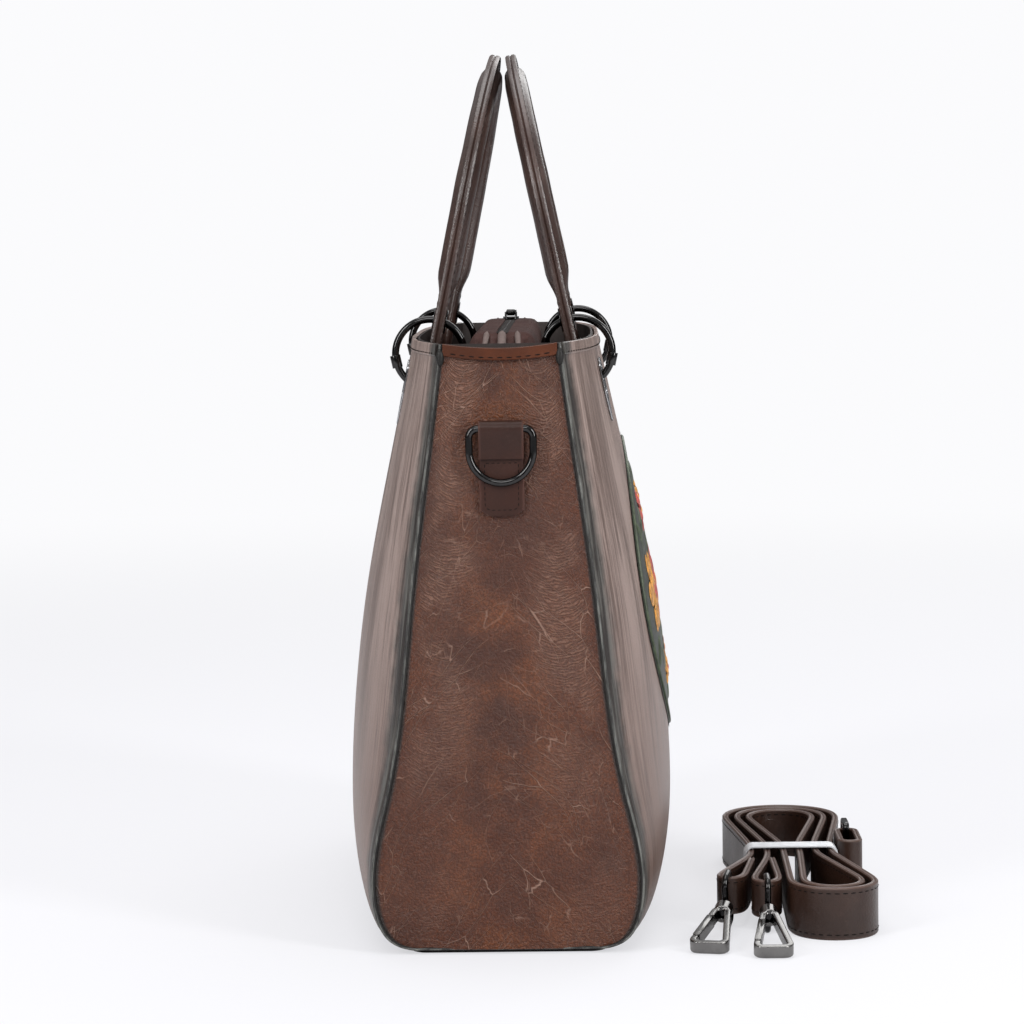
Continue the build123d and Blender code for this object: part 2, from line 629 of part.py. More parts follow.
def turn_band(strand_a, strand_b, centre, radius, edge_x, direction):
    """One U-turn of strap between two strands, round a loop centre."""
    shapes = []
    start_x = edge_x - direction * STRAP_THICKNESS
    for shrink, tuck in ((0.0, SEAM_GAP), (STRAP_THICKNESS, -SEAM_GAP)):
        inset = STRAP_THICKNESS * DOT_SHARE
        top = strand_y[strand_a] + STRAP_THICKNESS / 2 - shrink - tuck - inset
        bottom = strand_y[strand_b] - STRAP_THICKNESS / 2 + shrink + tuck + inset
        loop = Pos(*centre) * Circle(radius - shrink)
        ends = Pos(start_x, top) * Circle(inset) + Pos(start_x, bottom) * Circle(inset)
        shapes.append(make_hull((loop + ends).edges()))
    band = shapes[0] - shapes[1]
    reach = direction * BAG_LENGTH
    keep = Pos(start_x + reach / 2, HANK_Y) * Rectangle(BAG_LENGTH, BAG_LENGTH)
    return band & keep


def end_loop_centre(index):
    x = HANK_X - END_LOOP_REACHES[index]
    return x, HANK_Y + END_LOOP_SHIFTS[index]


def end_loop(index):
    """Doubled end of the strap, folded round the eye of a snap hook."""
    x, y = end_loop_centre(index)
    shapes = []
    for shrink in (0.0, STRAP_THICKNESS):
        loop = Pos(x, y) * Circle(END_LOOP_RADIUS - shrink)
        neck_size = STRAP_THICKNESS / 2 - shrink / 4 - SEAM_GAP
        neck = Pos(waist_front + shrink, strand_y[index]) * Circle(neck_size)
        shapes.append(make_hull((loop + neck).edges()))
    return shapes[0] - shapes[1]


def shoulder_strap():
    """One continuous strap standing on edge: three turns behind the tie, two in front, two ends."""
    plan = Sketch()
    for y in strand_y:
        plan += Pos(HANK_X, y) * Rectangle(2 * TIE_WIDTH + STRAP_THICKNESS, STRAP_THICKNESS)
    for turn in range(STRANDS // 2):
        radius = BACK_LOOP_RADIUS - turn * TURN_PITCH
        reach = BACK_LOOP_REACH - BACK_LOOP_RADIUS
        centre = (waist_back + reach, HANK_Y)
        plan += turn_band(turn, STRANDS - 1 - turn, centre, radius, waist_back, 1)
    for turn in range(2):
        radius = FRONT_LOOP_RADIUS - turn * TURN_PITCH
        reach = FRONT_LOOP_REACH - FRONT_LOOP_RADIUS
        centre = (waist_front - reach, HANK_Y + FRONT_LOOP_SHIFT)
        plan += turn_band(2 + turn, STRANDS - 1 - turn, centre, radius, waist_front, -1)
    strap = extrude(plan, STRAP_WIDTH)
    for index in (0, 1):
        strap += Pos(0, 0, END_LOOP_LIFT) * extrude(end_loop(index), END_LOOP_WIDTH)
    return strap


def strap_tie():
    """Flat band round the middle of the hank."""
    half = (STRANDS - 1) / 2 * STRAND_PITCH + STRAP_THICKNESS / 2 + SEAM_GAP
    low = (HANK_X - TIE_WIDTH / 2, HANK_Y - half - TIE_THICKNESS, SEAM_GAP)
    high = (HANK_X + TIE_WIDTH / 2, HANK_Y + half + TIE_THICKNESS, STRAP_WIDTH + SEAM_GAP + TIE_THICKNESS)
    room_low = (HANK_X - TIE_WIDTH, HANK_Y - half, -OVERRUN)
    room_high = (HANK_X + TIE_WIDTH, HANK_Y + half, STRAP_WIDTH + SEAM_GAP)
    return slab(low, high) - slab(room_low, room_high)


# Buckle and the strap end that loops round its bar, beside the hank
adjuster_y = strand_y[-1] - STRAP_THICKNESS / 2 - ADJUSTER_GAP - ADJUSTER_RADIUS
adjuster_x = HANK_X + ADJUSTER_BACK
adjuster_z = 2 * BUCKLE_WIRE + BUCKLE_CLEARANCE


def adjuster_loop():
    outer = SlotOverall(ADJUSTER_LENGTH, 2 * ADJUSTER_RADIUS)
    inner = SlotOverall(
        ADJUSTER_LENGTH - 2 * STRAP_THICKNESS, 2 * (ADJUSTER_RADIUS - STRAP_THICKNESS)
    )
    return Pos(adjuster_x, adjuster_y, adjuster_z) * extrude(outer - inner, STRAP_WIDTH)


def strap_buckle():
    """Wire frame whose near bar lies in the strap loop and whose far bar stands clear of it."""
    tall = STRAP_WIDTH + 2 * BUCKLE_CLEARANCE + 2 * BUCKLE_WIRE
    near_x = adjuster_x + ADJUSTER_LENGTH / 2 - ADJUSTER_RADIUS
    outline = RectangleRounded(BUCKLE_LENGTH + 2 * BUCKLE_WIRE, tall + 2 * BUCKLE_WIRE, 2 * BUCKLE_WIRE)
    inside = RectangleRounded(BUCKLE_LENGTH - 2 * BUCKLE_WIRE, tall - 2 * BUCKLE_WIRE, BUCKLE_WIRE)
    frame = extrude(Plane.XZ * (outline - inside), BUCKLE_WIRE, both=True)
    return Pos(near_x + BUCKLE_LENGTH / 2, adjuster_y, tall / 2 + BUCKLE_WIRE) * frame


# Snap hook, modelled with its eye bar upright at the origin and the hook pointing along -X
NECK_X = HOOK_EYE_REACH + HOOK_POST_LENGTH
EYE_HEIGHT = END_LOOP_LIFT + END_LOOP_WIDTH / 2
hook_tilt = degrees(asin((EYE_HEIGHT - HOOK_DEPTH / 2) / (NECK_X + HOOK_LENGTH)))
tip_radius = HOOK_TIP_WIDTH / 4
neck_radius = HOOK_NECK_WIDTH / 2
neck_centre = -NECK_X - neck_radius
tip_centre = -NECK_X - HOOK_LENGTH + tip_radius
gate_top = -NECK_X - HOOK_LENGTH * GATE_START_SHARE
gate_foot = -NECK_X - HOOK_LENGTH * GATE_END_SHARE
foot_share = (neck_centre - gate_foot) / (neck_centre - tip_centre)
gate_foot_y = neck_radius + (2 * tip_radius - neck_radius) * foot_share - HOOK_BAR / 2


def along_hook(distance, radius, length):
    """Round bar on the swivel axis, starting at a distance from the eye's bar."""
    return Rot(0, -90, 0) * Pos(0, 0, distance + length / 2) * Cylinder(radius, length)


def hook_eye():
    """Wire loop through the strap end, with the swivel post and its head."""
    half = END_LOOP_WIDTH / 2 + HOOK_EYE_SLACK + HOOK_EYE_WIRE
    path = FilletPolyline(
        (0, 0, -half), (0, 0, half), (-HOOK_EYE_REACH, 0, half), (-HOOK_EYE_REACH, 0, -half),
        radius=HOOK_EYE_CORNER, close=True,
    )
    loop = sweep(Plane(origin=path @ 0, z_dir=path % 0) * Circle(HOOK_EYE_WIRE), path=path)
    post = along_hook(HOOK_EYE_REACH, HOOK_POST_RADIUS, HOOK_POST_LENGTH)
    head = along_hook(NECK_X, HOOK_POST_HEAD, HOOK_POST_HEAD_LENGTH)
    return loop + post + head


def hook_outline(shrink):
    """Pear-shaped hook outline, wide at the tip and narrow at the neck."""
    left = Pos(tip_centre, tip_radius) * Circle(tip_radius - shrink)
    right = Pos(tip_centre, -tip_radius) * Circle(tip_radius - shrink)
    top = Pos(neck_centre, 0) * Circle(neck_radius - shrink)
    return make_hull((left + right + top).edges())


def hook_solid():
    return extrude(hook_outline(0.0) - hook_outline(HOOK_BAR), HOOK_DEPTH / 2, both=True)


def gate_zone(margin):
    """Stretch of the hook's side bar that the gate takes up, with its round foot."""
    block = slab((gate_foot, 0, -HOOK_DEPTH), (gate_top - margin, HOOK_TIP_WIDTH, HOOK_DEPTH))
    foot = Pos(gate_foot, gate_foot_y, 0) * Cylinder(HOOK_BAR / 2 - margin, 2 * HOOK_DEPTH)
    return block, foot


def hook_body():
    barrel_start = NECK_X - HOOK_BARREL_LENGTH - GATE_GAP
    barrel = along_hook(barrel_start, HOOK_BARREL_RADIUS, HOOK_BARREL_LENGTH + HOOK_BAR)
    bore = along_hook(0, HOOK_POST_RADIUS + HOOK_FIT, NECK_X + OVERRUN)
    room = along_hook(NECK_X - GATE_GAP, HOOK_POST_HEAD + GATE_GAP, HOOK_POST_HEAD_LENGTH + 2 * GATE_GAP)
    block, foot = gate_zone(-GATE_GAP)
    return hook_solid() + barrel - bore - room - block - foot


def hook_gate():
    block, foot = gate_zone(GATE_GAP)
    return (hook_solid() & block) + (extrude(hook_outline(0.0), HOOK_DEPTH / 2, both=True) & foot)


def place_hook(shape, index):
    """Move a hook part to its strap end: turned outwards and tipped down to the floor."""
    x, y = end_loop_centre(index)
    return Pos(x, y, EYE_HEIGHT) * Rot(0, 0, -HOOK_TURNS[index]) * Rot(0, -hook_tilt, 0) * shape


left = {
    "gusset": left_gusset(),
    "piping": left_piping(),
    "ring_tab": ring_tab(),
    "d_ring": d_ring(),
}
front = {
    "zip_panel": zip_panel(),
    "zip_tape": zip_tape(),
    "handle": handle(),
    "handle_grommets": handle_grommets(),
}
single = {
    "front_panel": front_panel,
    "rear_panel": rear_panel,
    "base_panel": base_panel(),
    "base_board": base_board(),
    "mouth_facing": mouth_facing,
    "lining": lining(),
    "front_motif": motif(),
    "zip_slider": zip_slider(),
    "zip_pull": zip_pull(),
    "shoulder_strap": shoulder_strap(),
    "strap_adjuster": adjuster_loop(),
    "strap_buckle": strap_buckle(),
    "strap_tie": strap_tie(),
}

os.makedirs("parts", exist_ok=True)
for name, shape in left.items():
    export_step(shape, f"parts/left_{name}.step")
    export_step(mirror_x(shape), f"parts/right_{name}.step")
for name, shape in front.items():
    export_step(shape, f"parts/front_{name}.step")
    export_step(mirror_y(shape), f"parts/rear_{name}.step")
for name, shape in single.items():
    export_step(shape, f"parts/{name}.step")
for side, side_x in (("left", LEFT), ("right", RIGHT)):
    eyelet = panel_eyelet(side_x)
    export_step(eyelet, f"parts/front_{side}_eyelet.step")
    export_step(mirror_y(eyelet), f"parts/rear_{side}_eyelet.step")
    ring = carrying_ring(side_x)
    export_step(ring, f"parts/front_{side}_ring.step")
    export_step(mirror_y(ring), f"parts/rear_{side}_ring.step")
for index, name in enumerate(("inner", "outer")):
    export_step(place_hook(hook_eye(), index), f"parts/{name}_hook_eye.step")
    export_step(place_hook(hook_body(), index), f"parts/{name}_hook_body.step")
    export_step(place_hook(hook_gate(), index), f"parts/{name}_hook_gate.step")
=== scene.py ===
import json
from math import asin, atan2, cos, pi, radians, sin, sqrt

import bpy
import numpy as np
from mathutils import Matrix, Vector, noise


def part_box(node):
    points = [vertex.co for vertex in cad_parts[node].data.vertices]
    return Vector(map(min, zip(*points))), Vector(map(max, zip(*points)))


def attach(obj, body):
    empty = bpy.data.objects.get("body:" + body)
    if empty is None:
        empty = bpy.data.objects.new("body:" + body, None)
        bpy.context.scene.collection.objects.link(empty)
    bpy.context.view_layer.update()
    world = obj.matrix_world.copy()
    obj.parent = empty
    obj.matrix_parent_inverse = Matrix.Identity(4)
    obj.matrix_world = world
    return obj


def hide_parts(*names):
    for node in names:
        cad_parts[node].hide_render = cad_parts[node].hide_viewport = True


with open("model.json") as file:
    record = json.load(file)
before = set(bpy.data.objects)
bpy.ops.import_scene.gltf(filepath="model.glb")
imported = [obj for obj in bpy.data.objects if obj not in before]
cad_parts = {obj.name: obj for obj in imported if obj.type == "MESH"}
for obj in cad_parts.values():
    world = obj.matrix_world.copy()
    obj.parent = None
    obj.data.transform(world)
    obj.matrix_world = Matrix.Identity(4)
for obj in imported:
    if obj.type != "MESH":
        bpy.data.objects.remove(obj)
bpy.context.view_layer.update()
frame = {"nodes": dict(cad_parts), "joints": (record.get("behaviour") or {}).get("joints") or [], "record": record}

bl_info = {
    "name": "Zipped tote bag",
    "version": (1, 0, 0),
    "blender": (4, 5, 0),
    "location": "View3D > Sidebar > Tote",
    "description": "Dresses the tote bag's frame in leather, cloth, thread and dark metal",
    "category": "Object",
}

# Section tables of the body, as shares of its height and depths
HEIGHT_SHARES = (0.0, 0.018, 0.07, 0.26, 0.57, 0.90, 1.0)
END_DEPTH_SHARES = (0.69, 0.90, 0.998, 0.89, 0.70, 0.503, 0.447)
MID_DEPTH_SHARES = (0.67, 0.835, 0.93, 1.0, 0.89, 0.645, 0.567)
BULGE_POWER = 3.2
JOINTS = {joint["name"]: joint for joint in frame["joints"]}

# Relief of the rim and casting of the hooks, in metres
RIM_STEP = 0.0005
STITCH_DENT = 0.0004
STITCH_DENT_REACH = 0.0012
RIM_SAG = 0.0022
CAST_VOXEL = 0.00035
CAST_PASSES = 14

# Set of the handles and of the folded ring tabs
HANDLE_LEAN = radians(11.7)
HOLE_ANGLE = radians(72.0)
TAB_LEATHER = 0.00095
WIRE_RADIUS = 0.00183
FOLD_REACH = 0.0140
TAB_CORNER = 0.004

# Camera, fitted to the photograph
CAMERA_PLACE = (-1.655, -0.0375, 0.3412)
CAMERA_YAW = radians(1.26)
CAMERA_PITCH = radians(5.13)
CAMERA_ROLL = radians(-0.853)
CAMERA_LENS = 115.1
LAMP_AIM = Vector((0.0, 0.0, 0.18))
# Name, place, width, height and power of each lamp
LAMPS = (
    ("key", (-1.25, 1.15, 0.95), 0.35, 1.1, 17.0),
    ("fill", (-1.15, -1.30, 0.85), 0.35, 1.1, 21.0),
    ("front", (-1.90, 0.10, 1.30), 0.90, 0.5, 10.0),
    ("top", (0.1, 0.0, 1.6), 1.2, 1.2, 14.0),
    ("back", (1.3, -0.6, 1.0), 0.9, 0.9, 6.0),
)

FRONT = LEFT = -1
REAR = RIGHT = 1
FACES = ((FRONT, "front"), (REAR, "rear"))
ENDS = ((LEFT, "left"), (RIGHT, "right"))


def length(label, note, default):
    return bpy.props.FloatProperty(
        name=label, description=note, default=default, min=0.0, precision=4, unit="LENGTH"
    )


def colour(label, note, default):
    return bpy.props.FloatVectorProperty(
        name=label, description=note, default=default, min=0.0, max=1.0, size=3, subtype="COLOR"
    )


class ToteBodySizes(bpy.types.PropertyGroup):
    """Sizes of the walls, the seams and the closure"""
    bag_length: length("Length", "End to end, over the gussets", 0.310)
    bag_height: length("Height", "Floor to rim", 0.284)
    base_thickness: length("Base", "Thickness of the base under the walls", 0.0024)
    gusset_half_depth: length("Gusset half depth", "Half the depth at the gusset's foot", 0.063)
    belly_half_depth: length("Belly half depth", "Half the depth at the belly", 0.079)
    panel_thickness: length("Panel", "Thickness of the panel leather", 0.0017)
    gusset_inset: length("Gusset inset", "Gusset edge inside the panel's face", 0.0018)
    rim_fold: length("Rim fold", "Depth of the turned edge under the rim", 0.0056)
    rim_stitch: length("Rim stitch", "Stitch line below the rim", 0.0042)
    seam_roll: length("Seam roll", "Radius of the burnished roll along the gusset seam", 0.0007)
    stitch_pitch: length("Stitch pitch", "From one stitch to the next", 0.0040)
    stitch_radius: length("Thread", "Radius of the sewing thread", 0.00032)
    zip_rise: length("Zip rise", "Zip above the rim", 0.003)
    zip_run: length("Zip length", "Length of the toothed run", 0.208)


class ToteHandleSizes(bpy.types.PropertyGroup):
    """Sizes of the handles"""
    roll_radius: length("Roll", "Radius of the rolled grip", 0.0054)
    flange_reach: length("Flange", "Flange edge from the roll's centre", 0.0114)
    flange_half: length("Flange half", "Half the thickness of the flange", 0.0026)
    arch_rise: length("Arch rise", "Arch centre above the tab hole", 0.0475)
    ring_place: length("Ring place", "Tab hole from the middle of the bag", 0.077)
    ring_radius: length("Ring", "Mean radius of a carrying ring", 0.0166)
    tab_tail: length("Tab tail", "Tab below its hole", 0.023)


class ToteStrapSizes(bpy.types.PropertyGroup):
    """Sizes of the shoulder strap and its hank"""
    strap_width: length("Width", "Width of the strap", 0.025)
    strap_thickness: length("Thickness", "Thickness of the doubled leather", 0.0032)
    strand_pitch: length("Strand pitch", "From strand to strand under the tie", 0.008)
    tie_width: length("Tie", "Width of the tie band", 0.012)
    back_reach: length("Back reach", "Back loop beyond the tie", 0.108)
    back_radius: length("Back radius", "Outer radius of the back loop", 0.031)
    front_reach: length("Front reach", "Front loop beyond the tie", 0.092)
    front_radius: length("Front radius", "Outer radius of the front loop", 0.022)
    turn_pitch: length("Turn pitch", "From turn to turn of a loop", 0.006)


class ToteColours(bpy.types.PropertyGroup):
    """Colours of the leathers, cloths and metal"""
    chestnut: colour("Chestnut", "Gusset leather", (0.076, 0.0185, 0.0048))
    chestnut_dark: colour("Dark chestnut", "Shaded gusset leather", (0.024, 0.006, 0.0025))
    chestnut_warm: colour("Warm chestnut", "Rubbed gusset leather", (0.130, 0.038, 0.010))
    # Painted sheen: this pale colour stands in for the highlight on the gusset's folds
    sheen: colour("Sheen", "Pale bloom on the gusset's folds", (0.235, 0.125, 0.088))
    crease: colour("Crease", "Pulled-up crease lines", (0.36, 0.225, 0.172))
    taupe: colour("Taupe", "Panel leather", (0.285, 0.213, 0.187))
    taupe_dark: colour("Dark taupe", "Streaks of the panel leather", (0.105, 0.069, 0.056))
    taupe_foot: colour("Brown taupe", "Lower panel leather", (0.120, 0.070, 0.053))
    burnish: colour("Burnish", "Dark edges along the seams", (0.011, 0.010, 0.009))
    # Roll: grey-green leather worn by rubbing along the seams; its paler streaks there are partly painted
    # highlight
    roll: colour("Roll", "Rubbed leather along the seams", (0.120, 0.122, 0.110))
    handle: colour("Handle", "Handle leather", (0.043, 0.022, 0.017))
    strap: colour("Strap", "Strap leather", (0.031, 0.014, 0.009))
    tab: colour("Tab", "Ring tab leather", (0.034, 0.011, 0.0065))
    facing: colour("Facing", "Facing inside the rim", (0.020, 0.013, 0.011))
    lining: colour("Lining", "Lining cloth", (0.018, 0.014, 0.013))
    zip_cloth: colour("Zip cloth", "Cloth beside the zip", (0.046, 0.021, 0.018))
    # Painted highlight: a paler copy of the zip cloth for the raised pleats at the zip's ends
    zip_fold: colour("Zip fold", "Pale pleats at the zip's ends", (0.130, 0.098, 0.090))
    thread: colour("Thread", "Sewing thread", (0.006, 0.004, 0.003))
    nickel: colour("Nickel", "Dark polished metal", (0.044, 0.043, 0.043))
    nickel_pale: colour("Pale nickel", "Snap hooks", (0.19, 0.185, 0.18))
    nickel_bright: colour("Bright nickel", "Eyelets", (0.42, 0.42, 0.43))
    clear_tie: colour("Tie", "Tie band", (0.50, 0.51, 0.53))
    ground: colour("Design ground", "Ground of the front design", (0.020, 0.026, 0.018))
    gold: colour("Gold", "Gold blooms", (0.55, 0.25, 0.045))
    rose: colour("Rose", "Rose blooms", (0.42, 0.075, 0.060))
    leaf: colour("Leaf", "Leaves", (0.040, 0.055, 0.026))


def body_sizes():
    return bpy.context.scene.tote_body


def handle_sizes():
    return bpy.context.scene.tote_handles


def strap_sizes():
    return bpy.context.scene.tote_strap


def colours():
    return bpy.context.scene.tote_colours


# Lines and surfaces of the body


def smooth_line(points, count):
    """Points evenly spaced along a smooth curve through the given points."""
    points = np.array(points, float)
    gaps = np.linalg.norm(np.diff(points, axis=0), axis=1)
    knots = np.concatenate(([0.0], np.cumsum(gaps)))
    rise = np.diff(points, axis=0) / gaps[:, None]
    size = len(points)
    system = np.eye(size)
    target = np.zeros_like(points)
    target[0] = rise[0] + (rise[0] - rise[1]) * gaps[0] / (gaps[0] + gaps[1])
    target[-1] = rise[-1] + (rise[-1] - rise[-2]) * gaps[-1] / (gaps[-1] + gaps[-2])
    for row in range(1, size - 1):
        before = 1 / gaps[row - 1]
        after = 1 / gaps[row]
        system[row, row - 1:row + 2] = (before, 2 * (before + after), after)
        target[row] = 3 * (rise[row - 1] * before + rise[row] * after)
    slopes = np.linalg.solve(system, target)
    fine = np.linspace(0.0, knots[-1], 600)
    span = np.clip(np.searchsorted(knots, fine, side="right") - 1, 0, size - 2)
    width = gaps[span][:, None]
    part = ((fine - knots[span]) / gaps[span])[:, None]
    line = (
        (1 + 2 * part) * (1 - part) ** 2 * points[span]
        + part * (1 - part) ** 2 * width * slopes[span]
        + part ** 2 * (3 - 2 * part) * points[span + 1]
        + part ** 2 * (part - 1) * width * slopes[span + 1]
    )
    run = np.concatenate(([0.0], np.cumsum(np.linalg.norm(np.diff(line, axis=0), axis=1))))
    places = np.linspace(0.0, run[-1], count)
    return np.stack([np.interp(places, run, line[:, axis]) for axis in range(line.shape[1])], 1)


WALL_LINES = {}


def wall_line(share, count):
    """Depth and height up the wall's outside at a lengthwise share, from the base to the rim."""
    key = (round(share, 5), count)
    if key not in WALL_LINES:
        sizes = body_sizes()
        bulge = 1.0 - min(1.0, abs(share)) ** BULGE_POWER
        points = []
        for height, end, mid in zip(HEIGHT_SHARES, END_DEPTH_SHARES, MID_DEPTH_SHARES):
            end_depth = sizes.gusset_half_depth * end
            depth = end_depth + (sizes.belly_half_depth * mid - end_depth) * bulge
            rise = (sizes.bag_height - sizes.base_thickness) * height
            points.append((depth, sizes.base_thickness + rise))
        WALL_LINES[key] = smooth_line(points, count)
    return WALL_LINES[key]


def wall_depth(x, z):
    """Depth of the wall's outside at a length and a height."""
    line = wall_line(2 * x / body_sizes().bag_length, 161)
    return float(np.interp(z, line[:, 1], line[:, 0]))


def ease(value):
    """Smooth step from 0 to 1."""
    value = min(1.0, max(0.0, value))
    return value * value * (3 - 2 * value)


def rim_relief(drop):
    """Step of the turned rim less the dent of its stitch line, at a depth below the rim."""
    sizes = body_sizes()
    step = RIM_STEP * ease((sizes.rim_fold - drop) / 0.001)
    return step - STITCH_DENT * max(0.0, 1 - abs(drop - sizes.rim_stitch) / STITCH_DENT_REACH)


def rim_dip(share):
    """How far the gusset's rim sags below its corners."""
    return RIM_SAG * (1 - min(1.0, abs(share)) ** 2)


# Modelling


def pick(piece):
    bpy.ops.object.select_all(action="DESELECT")
    piece.select_set(True)
    bpy.context.view_layer.objects.active = piece


def mend(piece, closed):
    """Merges the piece's doubles, closes its ends and turns its faces outwards."""
    pick(piece)
    bpy.ops.object.mode_set(mode="EDIT")
    bpy.ops.mesh.select_all(action="SELECT")
    bpy.ops.mesh.remove_doubles(threshold=1e-6)
    if closed:
        bpy.ops.mesh.fill_holes(sides=0)
        bpy.ops.mesh.select_all(action="SELECT")
        bpy.ops.mesh.normals_make_consistent(inside=False)
    bpy.ops.object.mode_set(mode="OBJECT")


def shaped_grid(name, columns, rows, place):
    """Grid whose points are moved to place(u, v), u across and v up it."""
    bpy.ops.object.select_all(action="DESELECT")
    bpy.ops.mesh.primitive_grid_add(x_subdivisions=columns, y_subdivisions=rows, size=1.0)
    piece = bpy.context.object
    piece.name = name
    piece.data.name = name
    for vertex in piece.data.vertices:
        vertex.co = place(vertex.co.x + 0.5, vertex.co.y + 0.5)
    piece.data.update()
    return piece


def finish_with(piece, *steps):
    """Adds modifiers and applies them in order."""
    pick(piece)
    for kind, values in steps:
        modifier = piece.modifiers.new(kind.title(), kind)
        for key, value in values.items():
            setattr(modifier, key, value)
        bpy.ops.object.modifier_apply(modifier=modifier.name)
    return piece


def walled(thickness):
    return ("SOLIDIFY", {"thickness": thickness, "offset": -1.0, "use_even_offset": True})


def rounded(width, segments=2, angle=40.0):
    return ("BEVEL", {
        "width": width, "segments": segments, "limit_method": "ANGLE",
        "angle_limit": radians(angle), "harden_normals": False,
    })


def settle(piece, paint, body, slot, *nodes, angle=40.0):
    """Gives a piece its finish, and its place in the frame."""
    pick(piece)
    bpy.ops.object.shade_smooth_by_angle(angle=radians(angle))
    piece.data.materials.clear()
    piece.data.materials.append(PAINTS[paint])
    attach(piece, body)
    if nodes:
        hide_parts(*nodes)
    return piece


def sweep(name, path, across, outline, closed=False):
    """Outline carried along a path. across gives the outline's first axis at each point."""
    path = [Vector(point) for point in path]
    last = len(path) - 1
    rows = []
    for index, point in enumerate(path):
        if closed:
            ahead = path[(index + 1) % last] - path[index - 1 if index else last - 1]
        else:
            ahead = path[min(index + 1, last)] - path[max(index - 1, 0)]
        first = Vector(across(index)).normalized()
        second = ahead.normalized().cross(first).normalized()
        rows.append([point + first * a + second * b for a, b in outline(index)])
    around = len(rows[0])

    def place(u, v):
        return rows[round(v * last)][round(u * around) % around]

    piece = shaped_grid(name, around, last, place)
    mend(piece, True)
    return piece


def round_outline(radius, count=14, squash=1.0):
    return [
        (radius * cos(2 * pi * step / count), squash * radius * sin(2 * pi * step / count))
        for step in range(count)
    ]


def band_outline(half_width, half_thickness, groove=0.0003):
    """Flat doubled band with rounded edges and a fine split along each edge."""
    soft = min(0.0006, half_thickness * 0.5)
    side = [
        (half_width - groove, 0.0), (half_width, half_thickness * 0.3),
        (half_width, half_thickness - soft), (half_width - soft, half_thickness),
        (half_width * 0.8, half_thickness), (half_width * 0.4, half_thickness),
        (0.0, half_thickness),
    ]
    upper = side + [(-a, b) for a, b in reversed(side[:-1])]
    return upper + [(a, -b) for a, b in reversed(upper[1:-1])]


def cast(piece):
    """Rounds a piece all over, as a casting is."""
    even = ("REMESH", {"mode": "VOXEL", "voxel_size": CAST_VOXEL})
    soften = ("SMOOTH", {"factor": 0.5, "iterations": CAST_PASSES})
    return finish_with(piece, even, soften)


def metal_copy(node, name, bevel, body, paint, rounding=False):
    """Copy of a frame solid with merged points, softened edges and smooth faces."""
    source = frame["nodes"][node]
    piece = source.copy()
    piece.data = source.data.copy()
    piece.name = name
    for key in list(piece.keys()):
        del piece[key]
    piece.parent = None
    bpy.context.scene.collection.objects.link(piece)
    mend(piece, False)
    if rounding:
        cast(piece)
    elif bevel:
        finish_with(piece, rounded(bevel))
    slot = next(part["material_slot"] for part in frame["record"]["subparts"] if part["node"] == node)
    return settle(piece, paint, body, slot, node)


def along(points, pitch):
    """Places and directions at a steady pitch along a line of points."""
    points = np.array([tuple(point) for point in points], float)
    run = np.concatenate(([0.0], np.cumsum(np.linalg.norm(np.diff(points, axis=0), axis=1))))
    count = max(2, int(run[-1] / pitch))
    places = (np.arange(count) + 0.5) * run[-1] / count
    spots = np.stack([np.interp(places, run, points[:, axis]) for axis in range(3)], 1)
    ahead = np.stack([np.interp(places + pitch / 4, run, points[:, axis]) for axis in range(3)], 1)
    return [(Vector(a), (Vector(b) - Vector(a)).normalized()) for a, b in zip(spots, ahead)]


def repeated(name, template, frames):
    """One mesh of many copies of a small template, each placed by a matrix."""
    points = np.array([tuple(v.co) + (1.0,) for v in template.data.vertices])
    faces = [tuple(polygon.vertices) for polygon in template.data.polygons]
    every = np.concatenate([points @ np.array(spot).T for spot in frames])[:, :3]
    step = len(points)
    loops = [tuple(index + copy * step for index in face) for copy in range(len(frames)) for face in faces]
    mesh = bpy.data.meshes.new(name)
    mesh.from_pydata(every.tolist(), [], loops)
    mesh.update()
    piece = bpy.data.objects.new(name, mesh)
    bpy.context.scene.collection.objects.link(piece)
    bpy.data.objects.remove(template)
    return piece


def ball(segments, rings):
    """Unit ball to be repeated as a stitch, a tack or a tooth."""
    bpy.ops.object.select_all(action="DESELECT")
    bpy.ops.mesh.primitive_uv_sphere_add(segments=segments, ring_count=rings, radius=1.0)
    return bpy.context.object


def stitches(name, lines, body, slot="edge_leather", scale=1.0):
    """Row of sewn stitches along each line of points, lying on the given normals."""
    sizes = body_sizes()
    template = ball(6, 4)
    long = sizes.stitch_pitch * 0.36 * scale
    thick = sizes.stitch_radius * scale
    frames = []
    for points, normal_of in lines:
        for spot, ahead in along(points, sizes.stitch_pitch * scale):
            normal = Vector(normal_of(spot)).normalized()
            side = normal.cross(ahead).normalized()
            turn = Matrix((ahead * long, side * thick, normal * thick)).transposed().to_4x4()
            frames.append(Matrix.Translation(spot) @ turn)
    piece = repeated(name, template, frames)
    return settle(piece, "thread", body, slot, angle=80.0)


# Finishes

PAINTS = {}
GROUPS = {}


def feed(tree, item, feeds):
    """Links sockets to a node's inputs, or sets plain values there."""
    for key, value in feeds.items():
        if isinstance(value, bpy.types.NodeSocket):
            tree.links.new(value, item.inputs[key])
        else:
            item.inputs[key].default_value = value


def node(tree, kind, feeds=None, **settings):
    """Shader node with its settings, fed with links or with plain values."""
    item = tree.nodes.new(kind)
    for key, value in settings.items():
        setattr(item, key, value)
    feed(tree, item, feeds or {})
    return item


def calc(tree, operation, first, second=0.0, third=None):
    feeds = {0: first, 1: second}
    if third is not None:
        feeds[2] = third
    return node(tree, "ShaderNodeMath", feeds, operation=operation).outputs[0]


def times(tree, first, second):
    return calc(tree, "MULTIPLY", first, second)


def plus(tree, first, second):
    return calc(tree, "ADD", first, second)


def fused(tree, first, factor, rest):
    """First times factor, plus the rest."""
    return calc(tree, "MULTIPLY_ADD", first, factor, rest)


def larger(tree, first, second):
    return calc(tree, "MAXIMUM", first, second)


